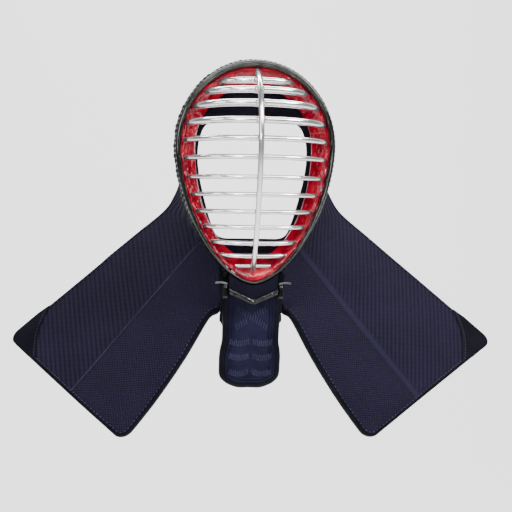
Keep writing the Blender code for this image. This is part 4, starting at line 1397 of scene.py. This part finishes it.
def patch_edge():
    """The pad's edge under a patch: up the rear edge, round the corner, along the end."""
    reach = PATCH_REACH / ROW_LENGTH
    radius = CORNER_RADIUS - PATCH_INSET
    rim = []
    for step in range(9):
        turn = math.pi / 2 * (1.0 - step / 8)
        place = END_ROW - (CORNER_RADIUS - radius * math.cos(turn)) / ROW_LENGTH
        side = CORNER_RADIUS - radius * math.sin(turn)
        rim.append((place, 1.0 - side / pad_width(place)))
    start = (END_ROW - reach, 1.0 - PATCH_INSET / pad_width(END_ROW - reach))
    return [start] + rim + [(rim[-1][0], 1.0 - PATCH_REACH / pad_width(END_ROW))]


PATCH_EDGE = patch_edge()


def patch_place(side, along, deep):
    """Place on the pad; along follows the edge and deep goes from there to the hem."""
    count = len(PATCH_EDGE) - 1
    index = min(count - 1, int(along * count))
    share = along * count - index
    here, there = PATCH_EDGE[index], PATCH_EDGE[index + 1]
    start, end = PATCH_EDGE[0], PATCH_EDGE[-1]
    bend = HEM_BEND * math.sin(math.pi * along)
    corner = (end[0], start[1])
    hem = [lerp(lerp(start[item], end[item], along), corner[item], bend) for item in range(2)]
    place, across = (lerp(lerp(here[item], there[item], share), hem[item], deep)
                     for item in range(2))
    return (place if side > 0 else END_ROW - place), across


for label, side in (("left", -1), ("right", 1)):
    def patch_corner(u, corner):
        deep, up = corner
        return over_pad(patch_place(side, lerp(0.04, 0.96, u), deep),
                        BINDING_THICKNESS / 2 + 0.0002 + PATCH_THICKNESS * up)

    finish_sweep("patch_" + label, PATCH_STEPS, PATCH_SECTION, patch_corner, (0.07, 0.04),
                 dark_leather, ["corner_patch_" + label])

    bm = bmesh.new()
    hem = [patch_place(side, lerp(0.07, 0.93, step / 40), 0.92) for step in range(41)]
    line = [over_pad(spot, BINDING_THICKNESS / 2 + 0.0017) for spot in hem]
    out = pad_normal(*hem[20])
    for point, along in even_points(line, HEM_SPACING):
        add_stitch(bm, point, along, out, *HEM_STITCH)
    finish_balls("patch_stitches_" + label, bm, thread)

# %% [markdown]
# ## Throat guard
#
# The throat guard hangs from the chin: a stiff leather-covered panel with a rolled border, three
# stitched bands that sag to the middle, and crossed stitching over the knot at the top. It is
# one sweep down the panel. Its front is pushed out where bands and crossed stitches are.

# %% The panel's outline
THROAT_HALF = 0.0376
THROAT_LENGTH = 0.1285
THROAT_THICKNESS = 0.010
THROAT_TOP = -CHIN_DROP - 0.0003
THROAT_LEAN = 0.20
THROAT_CROWN = 0.002
BORDER = 0.0095
Row = namedtuple("Row", "out down")
THROAT_ROWS = (
    Row(0.92, 0.00), Row(0.93, 0.26), Row(0.925, 0.47), Row(0.93, 0.55), Row(0.975, 0.62),
    Row(1.0, 0.69), Row(1.0, 0.77), Row(0.995, 0.845), Row(0.97, 0.885), Row(0.89, 0.922),
    Row(0.72, 0.963), Row(0.38, 1.0), Row(0.0, 1.0),
)


def throat_outline(inset, steps=60):
    """Right half of the outline from the top to the middle of the foot, drawn in."""
    rough = [Vector((row.out * THROAT_HALF, 0.0, THROAT_TOP - row.down * THROAT_LENGTH))
             for row in THROAT_ROWS]
    points = [spline(rough, (len(rough) - 1) * step / steps) for step in range(steps + 1)]
    drawn = []
    for index, point in enumerate(points):
        before, after = points[max(0, index - 1)], points[min(steps, index + 1)]
        if index == steps:
            after = mirror(before)
        run = (after - before).normalized()
        drawn.append(point + Vector((run.z, 0.0, -run.x)) * inset)
    drawn[0].z = points[0].z
    drawn[-1].x = 0.0
    return drawn


def throat_back(z):
    return THROAT_THICKNESS + THROAT_LEAN * (THROAT_TOP - z)


def throat_face(x, z):
    share = min(1.0, abs(x) / THROAT_HALF)
    return throat_back(z) - THROAT_THICKNESS - THROAT_CROWN * (1.0 - share ** 2)


# %% Throat panel
BANDS = (0.55, 0.69, 0.845)
BAND_RISE = 0.0015
GROOVE_DEPTH = 0.0008
CROSS_DOWN = 0.318
CROSS_RISE = 0.0008


def band_height(x, z):
    """Padded bands in two halves that sag to the middle, with a groove over each."""
    down = (THROAT_TOP - z) / THROAT_LENGTH
    out = abs(x) / THROAT_HALF
    height = 0.0
    for band in BANDS:
        centre = band + 0.035 * math.sin(math.pi * min(1.0, out * 1.15)) - 0.02
        height += BAND_RISE * bump_at(down, centre, 0.028)
        height -= GROOVE_DEPTH * bump_at(down, centre - 0.055, 0.014)
    for slope in (-1.0, 1.0):
        away = (down - CROSS_DOWN) - slope * x * 0.65 / THROAT_LENGTH
        height += CROSS_RISE * bump_at(away, 0.0, 0.026) * smooth((0.024 - abs(x)) / 0.006)
    return height * smooth((0.80 - out) / 0.08)


PANEL_EDGE = [point for point in throat_outline(BORDER - 0.0010) if point.x > 0.001]
PANEL_COLUMNS = 48
PANEL_SECTION = [(1.0 - 2.0 * step / PANEL_COLUMNS, True) for step in range(PANEL_COLUMNS + 1)]
PANEL_SECTION += [(-1.0 + 2.0 * step / 6, False) for step in range(7)]


def panel_place(u, corner):
    edge = station_at(PANEL_EDGE, u)
    span, front = corner
    x = edge.x * span
    if not front:
        return Vector((x, throat_back(edge.z), edge.z))
    return Vector((x, throat_face(x, edge.z) - band_height(x, edge.z), edge.z))


finish_sweep("throat_panel", len(PANEL_EDGE) - 1, PANEL_SECTION, panel_place, (0.12, 0.13),
             leather, ["throat_guard"])

# %% Rolled border
BORDER_SECTION = soften([(0.0, 0.0), (0.28, -0.05), (0.55, -0.06), (0.9, 0.12), (1.0, 0.4),
                         (1.0, 0.8), (0.8, 1.0), (0.0, 1.0)])
BORDER_PAIRS = list(zip(both_sides(throat_outline(0.0)), both_sides(throat_outline(BORDER))))


def border_place(u, corner):
    outer, inner = station_at(BORDER_PAIRS, u)
    across, along = corner
    point = lerp(inner, outer, across)
    point.y = lerp(throat_face(inner.x, point.z), throat_back(point.z), along)
    return point


finish_sweep("throat_border", len(BORDER_PAIRS) - 1, BORDER_SECTION, border_place, (0.3, 0.03),
             dark_leather, ["throat_guard_border"])

# %% [markdown]
# Two thin cords of piping run down each side between panel and border, and waxed thread is
# sewn across the bands and over the crossed stitching. All of it is tubes.

# %% Piping
PIPING_RADIUS = 0.0009

bm = bmesh.new()
for inset in (BORDER * 0.90, BORDER * 1.30):
    line = [point + Vector((0.0, throat_face(point.x, point.z) - 0.0006, 0.0))
            for point in both_sides(throat_outline(inset))]
    add_tube(bm, line, [PIPING_RADIUS] * len(line), 8, BACKWARD)
finish_closed("throat_piping", bm, leather)

# %% Throat stitches
HATCH_RADIUS = 0.00052
HATCH_START = 0.0032
HATCH_SPACING = 0.0024
HATCHES = 10
BAND_SAG = 0.0042
CROSS_REACH = 0.021
CROSS_HATCHES = 13


def add_hatch(bm, start, run):
    """One raised thread across a band: a tube from start, in metres on the panel."""
    line = []
    for step in range(5):
        x, z = start[0] + run[0] * step / 4, start[1] + run[1] * step / 4
        line.append(Vector((x, throat_face(x, z) - band_height(x, z) - 0.0002, z)))
    add_tube(bm, *round_tip(line, [HATCH_RADIUS] * 5, 2), 6, BACKWARD)


bm = bmesh.new()
for band in BANDS:
    centre = THROAT_TOP - (band - 0.02) * THROAT_LENGTH
    for side in (-1.0, 1.0):
        for step in range(HATCHES):
            x = side * (HATCH_START + HATCH_SPACING * step)
            sag = BAND_SAG * math.sin(math.pi * min(1.0, abs(x) / 0.0285))
            lean = 0.0009 if step % 2 else 0.0003
            add_hatch(bm, (x - lean, centre - sag - 0.0030), (2.0 * lean, 0.0062))
            add_hatch(bm, (x + 0.0004, centre - sag - 0.0034), (-0.0007, 0.0050))
for slope in (-1.0, 1.0):
    for step in range(CROSS_HATCHES):
        along = lerp(-CROSS_REACH, CROSS_REACH, step / (CROSS_HATCHES - 1))
        x = along * 0.80 + slope * 0.0010
        z = THROAT_TOP - CROSS_DOWN * THROAT_LENGTH - slope * along * 0.52
        if slope < 0.0 and abs(along) < 0.004:
            continue
        add_hatch(bm, (x - slope * 0.0008, z - 0.0032), (slope * 0.0016, 0.0064))
finish_closed("throat_stitches", bm, thread)

# %% [markdown]
# Behind the leather panel hangs a plain padded flap, which protects the throat when the panel
# swings. It is wide at the top, tapers, and ends in a round foot.

# %% Inner flap
INNER_ROWS = [Vector(row) for row in (
    (1.0, 0.0), (1.0, 0.25), (1.0, 0.5), (1.0, 0.65), (0.95, 0.76), (0.85, 0.87), (0.64, 0.96),
    (0.34, 1.0))]
INNER_SECTION = soften([(1.0, 0.3), (0.9, 0.0), (0.45, 0.0), (0.0, 0.0), (-0.45, 0.0),
                        (-0.9, 0.0), (-1.0, 0.3), (-1.0, 0.7), (-0.9, 1.0), (0.0, 1.0),
                        (0.9, 1.0), (1.0, 0.7)])
INNER_WIDTHS = (0.085, 0.082)
INNER_LENGTH = 0.087
INNER_RISE = 0.015
INNER_THICKNESS = 0.006
INNER_SWOLLEN = 0.0065


def inner_front(z):
    return max(throat_back(z), RIM_BACK) + 0.0003


def inner_place(u, corner):
    out, down = spline(INNER_ROWS, u * (len(INNER_ROWS) - 1))
    reach = lerp(*INNER_WIDTHS, min(1.0, down * 1.2)) / 2 * out
    z = THROAT_TOP + INNER_RISE - down * INNER_LENGTH
    across, along = corner
    return Vector((reach * across, inner_front(z) + INNER_THICKNESS * along, z))


inner_piece = finish_sweep("inner_flap", 60, INNER_SECTION, inner_place, (0.087, 0.16),
                           ring_cotton, ["inner_throat_flap"])


def behind_panel(point):
    front = inner_front(point.z - FACE_ORIGIN.z) + FACE_ORIGIN.y
    return Vector((point.x, max(front, min(front + INNER_SWOLLEN, point.y)), point.z))


swell(inner_piece, 0.004, 0.002, behind_panel)

# %% [markdown]
# ## Chin
#
# A small panel fills the V under the rim. A rolled band of black lacquer closes it, with a glossy
# tab at each end and the tips of the lacing beside them.

# %% Chin panel and band
CHIN_HALF = THROAT_HALF * 0.771
CHIN_THICKNESS = 0.0055
BAND_THICKNESS = 0.0045
BAND_WIDTH = 0.0075
CHIN_BACK = -0.0023
CHIN_SECTION = [(step / 16, 1.0) for step in range(17)] + [(1.0, 0.0), (0.5, 0.0), (0.0, 0.0)]


def rim_underside(x):
    share = max(0.0, 1.0 - (abs(x) / HALF_WIDTH) ** RIM_FULLNESS)
    return -CHIN_DROP * share ** (1.0 / RIM_FULLNESS)


def chin_line(x):
    """Height of the V along the chin; its point is a little rounded."""
    share = min(1.0, math.hypot(x, 0.0015) / CHIN_HALF)
    return THROAT_TOP - 0.007 - 0.0135 * (1.0 - share)


def chin_place(u, corner):
    x = lerp(-CHIN_HALF, CHIN_HALF, u)
    across, along = corner
    z = lerp(chin_line(x) - BAND_WIDTH * 0.3, rim_underside(x) - 0.0006, across)
    weave = 0.0004 * math.sin(x * 2200.0) * math.sin(z * 2200.0) * along
    return Vector((x, CHIN_BACK - CHIN_THICKNESS * along - weave, z))


finish_sweep("chin_cloth", 90, CHIN_SECTION, chin_place, (0.058, 0.03),
             plain_cotton, ["chin_panel"])

BAND_SECTION = soften([(1.0, 0.0), (1.0, 0.5), (0.6, 1.0), (-0.6, 1.0), (-1.0, 0.5),
                       (-1.0, 0.0)])


def band_place(u, corner):
    x = lerp(-CHIN_HALF, CHIN_HALF, u)
    across, along = corner
    point = Vector((x, CHIN_BACK - 0.0003 - CHIN_THICKNESS, chin_line(x)))
    lumps = 1.0 + 0.25 * noise.noise(Vector((x * 240.0, across * 1.2, 2.0)))
    return point + Vector((0.0, -BAND_THICKNESS * along * lumps, BAND_WIDTH / 2 * across))


finish_sweep("chin_roll", 96, BAND_SECTION, band_place, (0.065, 0.02),
             black_lacquer, ["chin_band"])

# %% Tabs and lacing tips
TAB_SECTION = soften([(0.0, 0.0), (0.0, 0.6), (0.25, 1.0), (0.75, 1.0), (1.0, 0.6), (1.0, 0.0)])
TAB_START = CHIN_HALF + 0.0012
TAB_WIDTH = 0.0065
TAB_LENGTH = 0.0155
LACE_RADIUS = 0.0013
LACE_LENGTH = 0.014
LACE_STEPS = 16

for label, side in (("left", -1.0), ("right", 1.0)):
    def tab_place(u, corner):
        across, along = corner
        full = lerp(0.7, 1.0, smooth(min(u, 1.0 - u) * 6.0))
        return Vector((side * (TAB_START + TAB_WIDTH * across),
                       CHIN_BACK - BAND_THICKNESS * along * full,
                       THROAT_TOP - 0.0006 - TAB_LENGTH * u))

    finish_sweep("glossy_tab_" + label, 30, TAB_SECTION, tab_place, (TAB_LENGTH, 0.02),
                 black_lacquer, ["chin_tab_" + label])

    path, radii = [], []
    for step in range(LACE_STEPS + 1):
        share = step / LACE_STEPS
        x = TAB_START + LACE_RADIUS + LACE_LENGTH * share
        rise = LACE_LENGTH * 0.35 * share * (1.2 - share)
        path.append(Vector((side * x, CHIN_BACK - LACE_RADIUS,
                            THROAT_TOP - 0.0003 + LACE_RADIUS + rise)))
        radii.append(LACE_RADIUS * (1.0 + 0.08 * math.sin(step * 1.9)))
    bm = bmesh.new()
    add_tube(bm, path, radii, 10, BACKWARD)
    finish_closed("lacing_tip_" + label, bm, thong, ["lace_end_" + label])

# %% [markdown]
# ## Studio
#
# The guard hangs over a plain pale floor, as it does in the photograph, where nothing is seen
# to carry it. The floor sweeps up behind it into a wall with a light of its own, so that dark
# cotton stands before white. The room in front stays dimmer: black lacquer mirrors that room,
# and would look grey in a white one.

# %% Floor and world
FLOOR_HEIGHT = -0.95
SWEEP_START = 1.0
SWEEP_RADIUS = 2.0
WALL_TOP = 6.0
FLOOR_REACH = 9.0
SWEEP_STEPS = 40
TURN_SHARES = (0.2, 0.9)


def sweep_place(u, v):
    """Floor, a quarter turn, then wall; v runs from in front of the guard to the wall's top."""
    x = lerp(-FLOOR_REACH, FLOOR_REACH, u)
    first, last = TURN_SHARES
    if v < first:
        return Vector((x, lerp(-FLOOR_REACH, SWEEP_START, v / first), FLOOR_HEIGHT))
    turn = math.pi / 2 * min(1.0, (v - first) / (last - first))
    y = SWEEP_START + SWEEP_RADIUS * math.sin(turn)
    z = FLOOR_HEIGHT + SWEEP_RADIUS * (1.0 - math.cos(turn))
    return Vector((x, y, z if v <= last else lerp(z, WALL_TOP, (v - last) / (1.0 - last))))


bm = bmesh.new()
add_grid(bm, 1, SWEEP_STEPS, sweep_place)
mesh = bpy.data.meshes.new("floor")
bm.to_mesh(mesh)
bm.free()
mesh.shade_smooth()
floor = bpy.data.objects.new("floor", mesh)
bpy.context.collection.objects.link(floor)
paint = Finish("floor paint", 0.9)
paint.colour((0.88, 0.88, 0.88, 1.0))
mesh.materials.append(paint.material)

world = bpy.data.worlds.new("studio")
bpy.context.scene.world = world
world.use_nodes = True
room = world.node_tree.nodes["Background"]
room.inputs["Color"].default_value = (0.80, 0.80, 0.82, 1.0)
room.inputs["Strength"].default_value = 0.3
print("floor:", len(mesh.polygons), "faces")

# %% Lights
CHIN_POINT = Vector((0.0, -0.1, -0.12))
WALL_POINT = Vector((0.0, 2.4, -0.5))


def softbox(name, place, size, power, target=CHIN_POINT):
    """Soft rectangular lamp whose -Z axis points from its place at the target."""
    data = bpy.data.lights.new(name, "AREA")
    data.shape = "RECTANGLE"
    data.size, data.size_y = size
    data.energy = power
    lamp = bpy.data.objects.new(name, data)
    lamp.location = place
    lamp.rotation_euler = (target - Vector(place)).to_track_quat("-Z", "Y").to_euler()
    bpy.context.collection.objects.link(lamp)


softbox("key", (1.5, -1.25, 1.2), (0.9, 0.9), 66.0)
softbox("fill", (-1.7, -1.5, 0.5), (0.8, 0.8), 15.0)
softbox("top", (0.0, -1.5, 1.1), (1.9, 0.7), 42.0)
softbox("front", (-0.5, -1.9, 0.15), (0.28, 0.28), 12.0)
softbox("wall light", (0.0, 0.8, 2.4), (4.0, 1.0), 230.0, WALL_POINT)
print("lights:", len(bpy.data.lights))

# %% [markdown]
# The camera's place, turn and lens come from fitting known points of the guard to the picture.

# %% Camera
CAMERA_PLACE = Vector((-0.16638, -1.63434, -0.15807))
YAW, PITCH, ROLL = (math.radians(value) for value in (-6.282, -2.505, 1.070))
FOCAL_PIXELS = 1290.2
FRAME_PIXELS = 512
SENSOR_WIDTH = 36.0

ahead = Vector((-math.sin(YAW) * math.cos(PITCH), math.cos(YAW) * math.cos(PITCH),
                math.sin(PITCH)))
right = ahead.cross(UPWARD).normalized()
up = right.cross(ahead)
axes = (right * math.cos(ROLL) + up * math.sin(ROLL),
        up * math.cos(ROLL) - right * math.sin(ROLL), -ahead)
data = bpy.data.cameras.new("camera")
data.sensor_fit = "HORIZONTAL"
data.sensor_width = SENSOR_WIDTH
data.lens = FOCAL_PIXELS * SENSOR_WIDTH / FRAME_PIXELS
camera = bpy.data.objects.new("camera", data)
bpy.context.collection.objects.link(camera)
camera.matrix_world = (Matrix.Translation(CAMERA_PLACE)
                       @ Matrix(axes).transposed().to_4x4())
bpy.context.scene.camera = camera
print("lens: %.1f mm" % data.lens)
